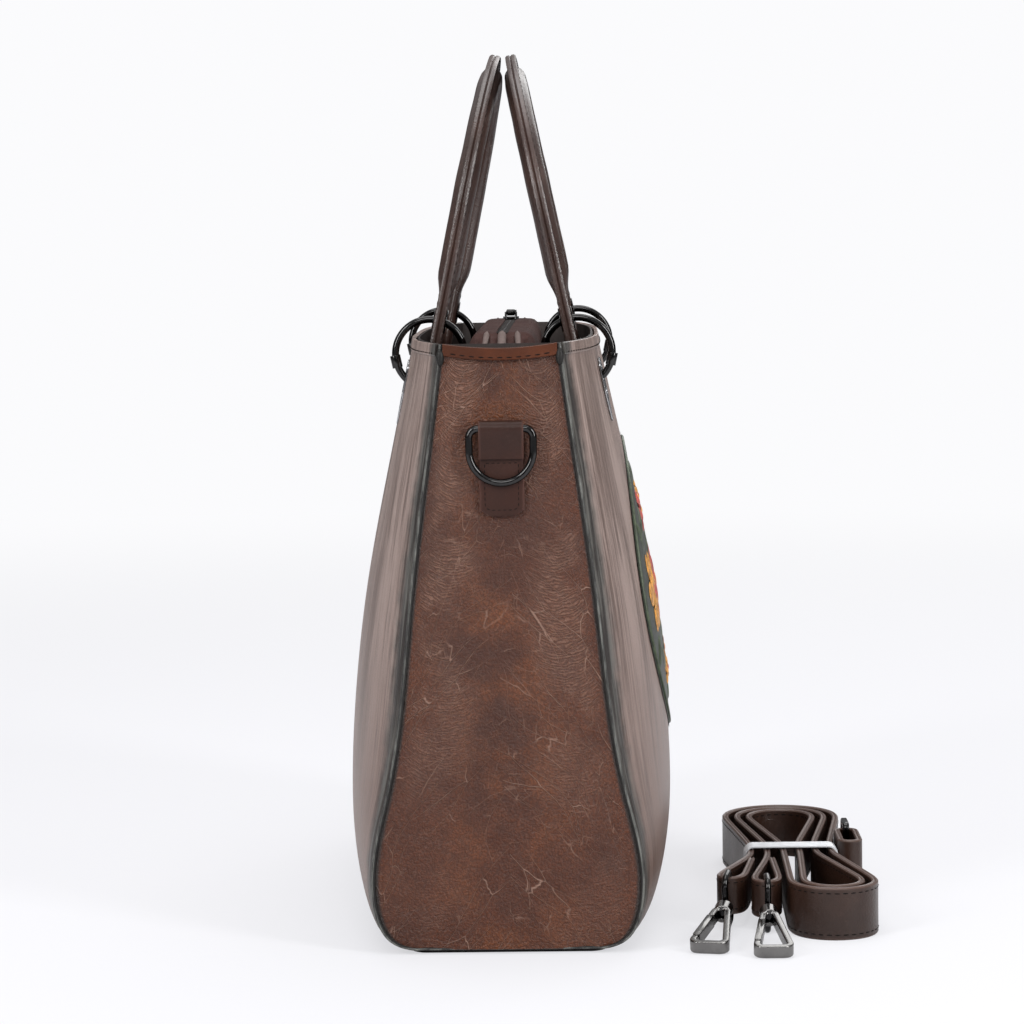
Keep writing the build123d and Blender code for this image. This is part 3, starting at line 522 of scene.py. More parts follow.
def spread(tree, value, low, high, start=0.0, end=1.0):
    """Value mapped smoothly from low..high to start..end."""
    return node(tree, "ShaderNodeMapRange", {0: value, 1: low, 2: high, 3: start, 4: end},
                interpolation_type="SMOOTHSTEP").outputs[0]


def mixed(tree, share, first, second, blend="MIX"):
    item = node(tree, "ShaderNodeMix", {0: share}, data_type="RGBA", blend_type=blend)
    for index, value in ((6, first), (7, second)):
        plain = not isinstance(value, bpy.types.NodeSocket)
        feed(tree, item, {index: (*value, 1.0) if plain else value})
    return item.outputs[2]


def stretched(tree, vector, scale):
    return node(tree, "ShaderNodeVectorMath", {0: vector, 1: scale}, operation="MULTIPLY").outputs[0]


def cloud(tree, vector, scale, detail=3.0, rough=0.55):
    return node(tree, "ShaderNodeTexNoise", {
        "Vector": vector, "Scale": scale, "Detail": detail, "Roughness": rough,
    }).outputs[0]


def group(name, inputs, outputs, build):
    """Shader node group with named sockets, built once."""
    if name not in GROUPS:
        tree = bpy.data.node_groups.new(name, "ShaderNodeTree")
        for label, kind in inputs:
            tree.interface.new_socket(label, in_out="INPUT", socket_type=kind)
        for label in outputs:
            tree.interface.new_socket(label, in_out="OUTPUT", socket_type="NodeSocketFloat")
        start = tree.nodes.new("NodeGroupInput")
        end = tree.nodes.new("NodeGroupOutput")
        build(tree, start.outputs, end.inputs)
        GROUPS[name] = tree
    return GROUPS[name]


VECTOR_AND_SCALE = (("Vector", "NodeSocketVector"), ("Scale", "NodeSocketFloat"))


def build_grain(tree, given, wanted):
    """Pebbled grain: soft cells with fine pores between them."""
    cells = node(tree, "ShaderNodeTexVoronoi", {"Vector": given["Vector"], "Scale": given["Scale"]},
                 feature="F1")
    fine = node(tree, "ShaderNodeTexNoise", {
        "Vector": given["Vector"], "Scale": times(tree, given["Scale"], 2.3), "Detail": 3.0,
    })
    height = fused(tree, cells.outputs["Distance"], -0.7, fine.outputs[0])
    tree.links.new(height, wanted["Height"])


def build_creases(tree, given, wanted):
    """Network of thin wandering lines, broken up by a slow mask."""
    bend = node(tree, "ShaderNodeTexNoise", {
        "Vector": given["Vector"], "Scale": times(tree, given["Scale"], 0.7), "Detail": 3.0,
    })
    moved = node(tree, "ShaderNodeVectorMath", {0: bend.outputs["Color"]}, operation="SCALE")
    tree.links.new(calc(tree, "DIVIDE", 0.55, given["Scale"]), moved.inputs["Scale"])
    warped = node(tree, "ShaderNodeVectorMath", {0: given["Vector"], 1: moved.outputs[0]}, operation="ADD")
    net = node(tree, "ShaderNodeTexVoronoi", {"Vector": warped.outputs[0], "Scale": given["Scale"]},
               feature="DISTANCE_TO_EDGE")
    line = spread(tree, net.outputs["Distance"], 0.0, given["Width"], 1.0, 0.0)
    breaks = cloud(tree, given["Vector"], times(tree, given["Scale"], 0.45), 2.0)
    tree.links.new(times(tree, line, spread(tree, breaks, 0.47, 0.66)), wanted["Line"])


def build_streaks(tree, given, wanted):
    """Long fine scratches: level lines of a soft field, broken up by a second field."""
    field = node(tree, "ShaderNodeTexNoise", {
        "Vector": given["Vector"], "Scale": given["Scale"], "Detail": 2.0, "Roughness": 0.5,
    })
    off = calc(tree, "ABSOLUTE", plus(tree, field.outputs[0], -0.5))
    line = spread(tree, off, 0.0, given["Width"], 1.0, 0.0)
    moved = node(tree, "ShaderNodeVectorMath", {0: given["Vector"], 1: (3.1, 7.7, 1.3)}, operation="ADD")
    breaks = cloud(tree, moved.outputs[0], times(tree, given["Scale"], 0.7), 3.0)
    tree.links.new(times(tree, line, spread(tree, breaks, 0.48, 0.62)), wanted["Line"])


def build_weave(tree, given, wanted):
    """Plain weave: threads that pass over and under one another."""
    parts = node(tree, "ShaderNodeSeparateXYZ", {0: given["Vector"]})
    size = times(tree, given["Scale"], 2 * pi)
    run = plus(tree, parts.outputs[0], parts.outputs[1])
    warp = calc(tree, "SINE", times(tree, run, size))
    weft = calc(tree, "SINE", times(tree, parts.outputs[2], size))
    tree.links.new(fused(tree, times(tree, warp, weft), 0.5, 0.5), wanted["Height"])


def use_group(tree, kit, feeds):
    return node(tree, "ShaderNodeGroup", feeds, node_tree=kit).outputs[0]


def grain_height(tree, vector, scale):
    kit = group("leather_grain", VECTOR_AND_SCALE, ("Height",), build_grain)
    return use_group(tree, kit, {"Vector": vector, "Scale": scale})


def crease_lines(tree, vector, scale, width):
    sockets = VECTOR_AND_SCALE + (("Width", "NodeSocketFloat"),)
    kit = group("crease_lines", sockets, ("Line",), build_creases)
    return use_group(tree, kit, {"Vector": vector, "Scale": scale, "Width": width})


def streak_lines(tree, vector, scale, width):
    sockets = VECTOR_AND_SCALE + (("Width", "NodeSocketFloat"),)
    kit = group("streak_lines", sockets, ("Line",), build_streaks)
    return use_group(tree, kit, {"Vector": vector, "Scale": scale, "Width": width})


def weave_height(tree, vector, scale):
    kit = group("plain_weave", VECTOR_AND_SCALE, ("Height",), build_weave)
    return use_group(tree, kit, {"Vector": vector, "Scale": scale})


def toned(tint, factor):
    """Tint made darker or paler."""
    return tuple(min(1.0, factor * part) for part in tint)


def cleared(owner):
    """Empty node tree of a material or a world."""
    owner.use_nodes = True
    owner.node_tree.nodes.clear()
    return owner.node_tree


def new_paint(name):
    """Material with an empty tree, its surface shader and the object's coordinates."""
    paint = bpy.data.materials.new(name)
    tree = cleared(paint)
    out = tree.nodes.new("ShaderNodeOutputMaterial")
    skin = tree.nodes.new("ShaderNodeBsdfPrincipled")
    tree.links.new(skin.outputs[0], out.inputs[0])
    where = tree.nodes.new("ShaderNodeTexCoord")
    PAINTS[name] = paint
    return tree, skin, where


def raise_bump(tree, skin, height, strength, distance):
    bump = node(tree, "ShaderNodeBump", {"Height": height, "Strength": strength, "Distance": distance})
    tree.links.new(bump.outputs[0], skin.inputs["Normal"])


def paint_gusset(tints):
    """Creased pull-up leather: warm middle, pale crease lines, and side bands of wavy wrinkles with painted sheen:
    painted highlight on their crests and painted shade between them.
    """
    tree, skin, where = new_paint("gusset_leather")
    spot = where.outputs["Object"]
    parts = node(tree, "ShaderNodeSeparateXYZ", {0: spot})
    side, rise = parts.outputs[1], parts.outputs[2]
    across = node(tree, "ShaderNodeSeparateXYZ", {0: where.outputs["UV"]}).outputs[0]
    share = times(tree, calc(tree, "ABSOLUTE", plus(tree, across, -0.5)), 2.0)
    wander = fused(tree, cloud(tree, spot, 14.0, 1.0), 0.036, plus(tree, side, -0.018))
    aside = calc(tree, "ABSOLUTE", wander)

    def chevron(steep, squeeze):
        """Coordinates along and across folds that fall away from the middle."""
        return node(tree, "ShaderNodeCombineXYZ", {
            0: fused(tree, aside, sin(steep), times(tree, rise, cos(steep))),
            1: fused(tree, aside, squeeze * cos(steep), times(tree, rise, -squeeze * sin(steep))),
            2: fused(tree, calc(tree, "GREATER_THAN", wander, 0.0), 5.0, times(tree, side, 0.22)),
        }).outputs[0]

    long_lines = crease_lines(tree, chevron(0.80, 0.20), 105.0, 0.017)
    steep_lines = crease_lines(tree, chevron(1.12, 0.22), 150.0, 0.020)
    low_lines = crease_lines(tree, chevron(0.45, 0.26), 190.0, 0.026)
    net = crease_lines(tree, chevron(0.70, 0.55), 420.0, 0.075)
    bowl = calc(tree, "POWER", calc(tree, "ABSOLUTE", plus(tree, share, -0.58)), 2.0)
    level = fused(tree, bowl, -0.055, rise)
    flat = node(tree, "ShaderNodeCombineXYZ", {0: level, 1: times(tree, side, 0.6), 2: 0.0}).outputs[0]
    folds = node(tree, "ShaderNodeTexWave", {
        "Vector": flat, "Scale": 215.0, "Distortion": 13.0,
        "Detail": 3.0, "Detail Scale": 0.9, "Detail Roughness": 0.6,
    }, wave_type="BANDS", bands_direction="X").outputs["Fac"]
    folds = times(tree, folds, spread(tree, cloud(tree, flat, 420.0, 2.0), 0.34, 0.62, 0.25, 1.0))
    # Mask of the painted sheen: two side bands, stronger up high, broken into patches
    patch = spread(tree, cloud(tree, spot, 26.0, 3.0), 0.42, 0.60, 0.12, 1.0)
    band = times(tree, spread(tree, share, 0.16, 0.52), spread(tree, share, 1.0, 0.80))
    high = spread(tree, rise, 0.03, 0.20, 0.25, 1.0)
    band = times(tree, band, times(tree, high, patch))
    lines = larger(tree, long_lines, times(tree, steep_lines, 0.6))
    lines = larger(tree, lines, times(tree, low_lines, 0.3))
    lines = larger(tree, lines, times(tree, net, 0.12))
    tone = spread(tree, cloud(tree, spot, 15.0, 6.0, 0.65), 0.34, 0.66, 0.45, 1.0)
    base = mixed(tree, tone, tints.chestnut_dark, tints.chestnut)
    worn = spread(tree, cloud(tree, spot, 30.0, 5.0), 0.42, 0.66)
    warm = times(tree, worn, spread(tree, share, 0.7, 0.1, 0.15, 0.75))
    base = mixed(tree, warm, base, tints.chestnut_warm)
    fine = grain_height(tree, spot, 760.0)
    base = mixed(tree, spread(tree, fine, 0.30, 0.05, 0.0, 0.5), base, tints.chestnut_dark)
    # Painted highlight on the crests of the folds and painted shade in their hollows, within the sheen bands
    glint = times(tree, band, spread(tree, folds, 0.15, 0.95, 0.20, 0.60))
    fold_shade = times(tree, band, spread(tree, folds, 0.30, 0.0, 0.0, 0.55))
    base = mixed(tree, fold_shade, base, tints.chestnut_dark)
    base = mixed(tree, glint, base, tints.sheen)
    base = mixed(tree, times(tree, lines, 0.58), base, tints.crease)
    base = mixed(tree, spread(tree, share, 0.955, 0.985, 0.0, 0.9), base, tints.burnish)
    rough = fused(tree, lines, 0.12, fused(tree, cloud(tree, spot, 38.0, 4.0), 0.20, 0.26))
    feed(tree, skin, {"Base Color": base, "Roughness": rough, "Specular IOR Level": 0.32})
    height = fused(tree, lines, 1.4, fine)
    height = fused(tree, folds, plus(tree, band, 0.06), height)
    raise_bump(tree, skin, height, 0.9, 0.0006)


def paint_panel(tints):
    """Taupe leather with fine upright streaks, burnished dark beside the seams and near the foot, streaked there
    with a paler grey-green that is partly leather worn by rubbing and partly painted highlight.
    """
    tree, skin, where = new_paint("panel_leather")
    spot = where.outputs["Object"]
    parts = node(tree, "ShaderNodeSeparateXYZ", {0: spot})
    streaks = cloud(tree, stretched(tree, spot, (1.0, 0.03, 0.03)), 560.0, 5.0, 0.7)
    wide = cloud(tree, stretched(tree, spot, (1.0, 0.1, 0.12)), 60.0, 4.0)
    tone = spread(tree, fused(tree, streaks, 0.65, times(tree, wide, 0.35)), 0.41, 0.59)
    base = mixed(tree, tone, tints.taupe_dark, tints.taupe)
    low = spread(tree, parts.outputs[2], 0.20, 0.03, 0.0, 0.75)
    base = mixed(tree, times(tree, low, spread(tree, wide, 0.3, 0.6, 0.5, 1.0)), base, tints.taupe_foot)
    hair = streak_lines(tree, stretched(tree, spot, (1.0, 0.03, 0.035)), 700.0, 0.03)
    base = mixed(tree, times(tree, hair, 0.35), base, tints.burnish)
    half = body_sizes().bag_length / 2
    end = calc(tree, "ABSOLUTE", parts.outputs[0])
    # Dark burnished band at the seam ends and near the foot, streaked with the pale roll colour: partly leather
    # worn by rubbing, partly painted highlight
    ragged = fused(tree, cloud(tree, spot, 150.0, 4.0), 0.008, plus(tree, end, -0.004))
    edge = spread(tree, ragged, half - 0.014, half - 0.004)
    pale_share = times(tree, spread(tree, streaks, 0.44, 0.60), 0.60)
    worn = mixed(tree, pale_share, tints.burnish, tints.roll)
    foot = spread(tree, parts.outputs[2], 0.03, 0.008)
    dark = larger(tree, edge, times(tree, foot, 0.6))
    base = mixed(tree, times(tree, dark, 0.92), base, worn)
    rough = fused(tree, streaks, 0.30, 0.24)
    feed(tree, skin, {"Base Color": base, "Roughness": rough, "Specular IOR Level": 0.45})
    height = fused(tree, streaks, 1.6, times(tree, grain_height(tree, spot, 700.0), 0.4))
    raise_bump(tree, skin, height, 0.5, 0.0004)


def paint_roll(tints):
    """Burnished roll along the seams: dark grey-green, with paler streaks that are partly leather worn by rubbing
    and partly painted highlight.
    """
    tree, skin, where = new_paint("roll_leather")
    spot = where.outputs["Object"]
    rub = cloud(tree, stretched(tree, spot, (1.0, 1.0, 0.16)), 330.0, 5.0, 0.7)
    # Paler streaks: partly leather worn by rubbing, partly painted highlight
    base = mixed(tree, spread(tree, rub, 0.40, 0.68), tints.burnish, tints.roll)
    feed(tree, skin, {"Base Color": base, "Roughness": fused(tree, rub, 0.3, 0.18)})
    raise_bump(tree, skin, fused(tree, rub, 1.5, grain_height(tree, spot, 620.0)), 0.5, 0.0004)


def paint_leather(name, tint, gloss, scale=800.0, worn=0.25, sheen=0.25, pale_share=0.0):
    """Plain leather: pebbled grain, slow clouds of tone, paler worn spots and, on bands, paler edges."""
    tree, skin, where = new_paint(name)
    spot = where.outputs["Object"]
    tone = spread(tree, cloud(tree, spot, 34.0, 4.0), 0.34, 0.68)
    base = mixed(tree, tone, toned(tint, 0.62), tint)
    pale = tuple(min(1.0, 2.1 * part + 0.02) for part in tint)
    wear = spread(tree, cloud(tree, spot, 130.0, 5.0, 0.7), 0.56, 0.76, 0.0, worn)
    base = mixed(tree, wear, base, pale)
    if pale_share:
        around = node(tree, "ShaderNodeSeparateXYZ", {0: where.outputs["UV"]}).outputs[0]
        off = calc(tree, "PINGPONG", around, 0.25)
        base = mixed(tree, spread(tree, off, 0.15, 0.10, 0.0, pale_share), base, pale)
    rough = fused(tree, cloud(tree, spot, 55.0, 3.0), 0.2, gloss)
    feed(tree, skin, {"Base Color": base, "Roughness": rough, "Specular IOR Level": sheen})
    lines = crease_lines(tree, spot, 150.0, 0.06)
    height = fused(tree, lines, 0.6, grain_height(tree, spot, scale))
    raise_bump(tree, skin, height, 0.35, 0.0003)


def paint_cloth(name, tint, scale):
    """Woven cloth with uneven threads."""
    tree, skin, where = new_paint(name)
    spot = where.outputs["Object"]
    threads = weave_height(tree, spot, scale)
    slub = cloud(tree, stretched(tree, spot, (1.0, 1.0, 0.2)), 300.0, 3.0)
    share = fused(tree, threads, 0.5, times(tree, slub, 0.5))
    base = mixed(tree, share, toned(tint, 0.6), toned(tint, 1.3))
    feed(tree, skin, {"Base Color": base, "Roughness": 0.85, "Specular IOR Level": 0.15})
    raise_bump(tree, skin, threads, 0.4, 0.0003)


def paint_metal(name, tint, gloss):
    """Polished metal with faint rubbing marks."""
    tree, skin, where = new_paint(name)
    spot = where.outputs["Object"]
    smear = cloud(tree, spot, 160.0, 4.0)
    base = mixed(tree, spread(tree, smear, 0.3, 0.7), toned(tint, 0.8), tint)
    rough = fused(tree, smear, 0.12, gloss)
    feed(tree, skin, {"Base Color": base, "Metallic": 1.0, "Roughness": rough})
    raise_bump(tree, skin, cloud(tree, spot, 900.0, 2.0), 0.04, 0.0002)


def paint_colour(name, tint):
    """Painted relief: colour broken up by brush-like streaks."""
    tree, skin, where = new_paint(name)
    spot = where.outputs["Object"]
    streak = cloud(tree, spot, 230.0, 5.0, 0.7)
    tone = spread(tree, streak, 0.35, 0.65)
    base = mixed(tree, tone, toned(tint, 0.45), toned(tint, 1.25))
    feed(tree, skin, {"Base Color": base, "Roughness": 0.48})
    raise_bump(tree, skin, plus(tree, streak, grain_height(tree, spot, 600.0)), 0.4, 0.0004)


def paint_tie(tints):
    """Glossy film band with soft wrinkles."""
    tree, skin, where = new_paint("tie_film")
    spot = where.outputs["Object"]
    folds = cloud(tree, stretched(tree, spot, (1.0, 0.35, 1.0)), 260.0, 3.0)
    base = mixed(tree, folds, toned(tints.clear_tie, 0.7), toned(tints.clear_tie, 1.3))
    feed(tree, skin, {"Base Color": base, "Roughness": fused(tree, folds, 0.15, 0.10)})
    raise_bump(tree, skin, folds, 0.5, 0.0006)


def mix_paints():
    tints = colours()
    paint_gusset(tints)
    paint_panel(tints)
    paint_leather("handle_leather", tints.handle, 0.20, worn=0.35, sheen=0.6)
    paint_leather("strap_leather", tints.strap, 0.24, sheen=0.4, pale_share=0.8)
    paint_leather("tab_leather", tints.tab, 0.34, scale=620.0, pale_share=0.7)
    paint_roll(tints)
    paint_leather("bead_leather", tints.burnish, 0.34)
    paint_leather("rim_leather", tints.chestnut, 0.30)
    paint_leather("facing_leather", tints.facing, 0.5)
    paint_cloth("lining_cloth", tints.lining, 900.0)
    paint_cloth("zip_cloth", tints.zip_cloth, 1100.0)
    paint_cloth("tape_cloth", tints.lining, 1300.0)
    paint_cloth("thread", tints.thread, 2500.0)
    paint_metal("dark_nickel", tints.nickel, 0.06)
    paint_metal("pale_nickel", tints.nickel_pale, 0.14)
    paint_metal("bright_nickel", tints.nickel_bright, 0.12)
    paint_cloth("zip_fold", tints.zip_fold, 1100.0)
    paint_tie(tints)
    for name in ("ground", "gold", "rose", "leaf"):
        paint_colour("design_" + name, getattr(tints, name))


# Pieces


class ToteStep:
    """What every step of the tote shares"""
    bl_options = {"REGISTER", "UNDO"}


class TOTE_OT_panels(ToteStep, bpy.types.Operator):
    """Pillowed front and rear panels with a turned rim and rolled seam edges"""
    bl_idname = "tote.panels"
    bl_label = "Panels"

    def execute(self, context):
        sizes = body_sizes()
        half = sizes.bag_length / 2
        rows = 120

        def build(name, side):
            def place(u, v):
                t = (2 * u - 1) * -side
                share = 0.55 * t + 0.45 * (1.5 * t - 0.5 * t ** 3)
                line = wall_line(share, rows + 1)
                row = round(v * rows)
                depth, height = line[row]
                ahead = line[min(row + 1, rows)] - line[max(row - 1, 0)]
                reach = float(np.hypot(*ahead))
                x = share * half
                seam = half - abs(x)
                drop = sizes.bag_height - height
                out = 0.0004 * noise.noise(Vector((x * 16, height * 13, side * 4.0)))
                out += rim_relief(drop)
                out -= 0.0016 * max(0.0, 1 - seam / 0.004) ** 2
                out -= 0.0004 * max(0.0, 1 - abs(seam - 0.0062) / 0.0022)
                depth += out * ahead[1] / reach
                height -= out * ahead[0] / reach
                return Vector((x, side * depth, height))

            piece = shaped_grid(name, 110, rows, place)
            return finish_with(piece, walled(sizes.panel_thickness), rounded(0.0004, 2, 60.0))

        for side, name in FACES:
            piece = build(name + "_panel_skin", side)
            settle(piece, "panel_leather", "bag", "panel_leather", name + "_panel")
        return {"FINISHED"}


class TOTE_OT_gussets(ToteStep, bpy.types.Operator):
    """End walls of creased leather, slightly hollow above and full below"""
    bl_idname = "tote.gussets"
    bl_label = "Gussets"

    def execute(self, context):
        sizes = body_sizes()
        half = sizes.bag_length / 2
        rows = 210

        def lift(y, z, seed):
            """Height of the leather over the flat gusset."""
            aside = abs(y + 0.006 * noise.noise(Vector((y * 30, z * 30, seed))))
            slope = 0.62 * aside + 0.78 * z
            run = 0.28 * aside - 0.22 * z
            long_line = max(0.0, 1 - 10 * abs(noise.noise(Vector((slope * 46, run * 46, seed)))))
            fine_line = max(0.0, 1 - 6 * abs(noise.noise(Vector((slope * 120, run * 120, seed + 7)))))
            soft = noise.noise(Vector((y * 20, z * 16, seed + 3)))
            return 0.00020 * long_line + 0.00010 * fine_line + 0.0005 * soft

        def build(name, side):
            def place(u, v):
                depth, height = wall_line(1.0, rows + 1)[round(v * rows)]
                reach = depth - sizes.gusset_inset
                y = (2 * u - 1) * reach * side
                edge = reach - abs(y)
                drop = sizes.bag_height - height
                centre = 1 - (y / reach) ** 2
                full = 0.0012 * ease((0.16 - height) / 0.10)
                hollow = 0.0010 * ease((height - 0.14) / 0.10)
                out = centre * (full - hollow)
                out += lift(y, height, side * 11.0) * ease(edge / 0.004)
                out += rim_relief(drop)
                dip = RIM_SAG * centre * ease((height - 0.255) / 0.029)
                return Vector((side * (half + out), y, height - dip))

            piece = shaped_grid(name, 120, rows, place)
            return finish_with(piece, walled(sizes.panel_thickness))

        for side, name in ENDS:
            piece = build(name + "_gusset_skin", side)
            settle(piece, "gusset_leather", "bag", "gusset_leather", name + "_gusset")
        return {"FINISHED"}


def gusset_outline(inset, count=140):
    """Points down one gusset seam, along the foot and up the other seam."""
    side = wall_line(1.0, count)
    down = [(-(depth - inset), height) for depth, height in side[::-1]]
    up = [(depth - inset, height) for depth, height in side]
    foot = np.linspace(down[-1][0], up[0][0], 24)[1:-1]
    return down + [(y, down[-1][1] + inset * 0.3) for y in foot] + up


class TOTE_OT_seams(ToteStep, bpy.types.Operator):
    """Burnished roll and dark sewn line along each gusset seam, with a tack at each rim corner"""
    bl_idname = "tote.seams"
    bl_label = "Seams"

    def execute(self, context):
        sizes = body_sizes()
        half = sizes.bag_length / 2
        for side, name in ENDS:
            path = [(side * (half + 0.0002), y, z) for y, z in gusset_outline(sizes.seam_roll)]

            def outline(index):
                swell = 1 + 0.10 * noise.noise(Vector(path[index]) * 90)
                return round_outline(sizes.seam_roll * 0.92 * swell, 12)

            roll = sweep(name + "_seam_roll", path, lambda index: (1, 0, 0), outline)
            settle(roll, "roll_leather", "bag", "edge_leather", name + "_piping")
            line = [(side * (half + 0.0001), y, z) for y, z in gusset_outline(2 * sizes.seam_roll)]
            bead = sweep(name + "_seam_line", line, lambda index: (1, 0, 0),
                         lambda index: round_outline(0.0007, 8))
            settle(bead, "bead_leather", "bag", "edge_leather")
            frames = []
            tack = ball(16, 10)
            for end in (0, -1):
                spot = Vector(path[end])
                spot.z -= 0.0062
                spot.x += side * 0.0004
                frames.append(Matrix.Translation(spot) @ Matrix.Diagonal((0.0017, 0.0019, 0.0040, 1.0)))
            settle(repeated(name + "_rim_tacks", tack, frames), "bead_leather", "bag", "edge_leather")
        return {"FINISHED"}


class TOTE_OT_base(ToteStep, bpy.types.Operator):
    """Base, board, facing and lining"""
    bl_idname = "tote.base"
    bl_label = "Base and inside"

    def execute(self, context):
        metal_copy("base_panel", "base_leather", 0.0006, "bag", "bead_leather")
        metal_copy("base_board", "stiff_board", 0.0004, "bag", "lining_cloth")
        metal_copy("mouth_facing", "rim_facing", 0.0, "bag", "facing_leather")
        metal_copy("lining", "lining_bag", 0.0, "bag", "lining_cloth")
        return {"FINISHED"}


class TOTE_OT_zip(ToteStep, bpy.types.Operator):
    """Cloth strips, tapes, teeth, slider and pull of the closure"""
    bl_idname = "tote.zip"
    bl_label = "Zip"

    def execute(self, context):
        sizes = body_sizes()
        top = sizes.bag_height + sizes.zip_rise
        run = sizes.zip_run / 2
        end_run = 0.042
        end_drop = 0.017
        profile = ((0.0085, -0.0004), (0.0122, -0.0011), (0.0139, -0.0032),
                   (0.0146, -0.016), (0.0153, -0.0325), (0.0178, -0.0356))

        for side, name in FACES:
            def place(u, v):
                x = (2 * u - 1) * -side * (run + end_run)
                over = max(0.0, abs(x) - run) / end_run
                drop = end_drop * over
                reach = wall_depth(x, 0.246 - drop) - 0.0036
                inner = 0.0030 - 0.0027 * ease(over * 10)
                foot = ((0.024, -0.0368), (max(0.026, reach), -0.0370))
                y, z = smooth_line([(inner, -0.0004), *profile, *foot], 49)[round(v * 48)]
                y = min(y, reach)
                pleat = 0.0020 * ease(over * 3) * sin(y * 1500 + 1.3) * ease((0.016 - y) / 0.004)
                sag = 0.0004 * noise.noise(Vector((x * 40, y * 60, side)))
                return Vector((x, side * y, top + z - drop + pleat + sag))

            piece = shaped_grid(name + "_zip_cloth", 150, 48, place)
            finish_with(piece, walled(0.0010))
            settle(piece, "zip_cloth", "bag", "panel_leather", name + "_zip_panel")

            def tape_place(u, v):
                x = (2 * u - 1) * -side * run
                y = 0.0003 + v * 0.0085
                return Vector((x, side * y, top - 0.0004 - 0.0013 * ease((y - 0.002) / 0.003)))

            tape = shaped_grid(name + "_tape", 80, 8, tape_place)
            finish_with(tape, walled(0.0007))
            settle(tape, "tape_cloth", "bag", "zip_cloth", name + "_zip_tape")

        for end, name in ENDS:
            for order, y in enumerate((-0.0072, 0.0, 0.0072)):
                parts = np.linspace(0.0, 0.94, 24)
                path = [
                    (end * (run + end_run * part), y * (1 + 0.25 * part), top + 0.0007 - end_drop * part)
                    for part in parts
                ]
                thick = 0.0014 if y else 0.0020

                def outline(index):
                    return round_outline(thick * (0.3 + 0.7 * ease(index / 2)), 10)

                fold = sweep(f"{name}_zip_fold_{order}", path, lambda index: (0, 1, 0), outline)
                # The pleats get the paler zip_fold colour, a painted highlight
                settle(fold, "zip_fold", "bag", "zip_cloth")

        tooth = ball(8, 6)
        pitch = 0.0015
        frames = []
        for index in range(int(sizes.zip_run / pitch)):
            x = -run + (index + 0.5) * pitch
            side = FRONT if index % 2 else REAR
            shape = Matrix.Diagonal((pitch * 0.42, 0.0014, 0.0008, 1.0))
            frames.append(Matrix.Translation((x, side * 0.0005, top - 0.0005)) @ shape)
        settle(repeated("zip_teeth", tooth, frames), "dark_nickel", "bag", "zip_cloth")
        metal_copy("zip_slider", "slider", 0.0004, "zip_slider", "dark_nickel")
        metal_copy("zip_pull", "pull_tab", 0.0003, "zip_pull", "dark_nickel")
        return {"FINISHED"}


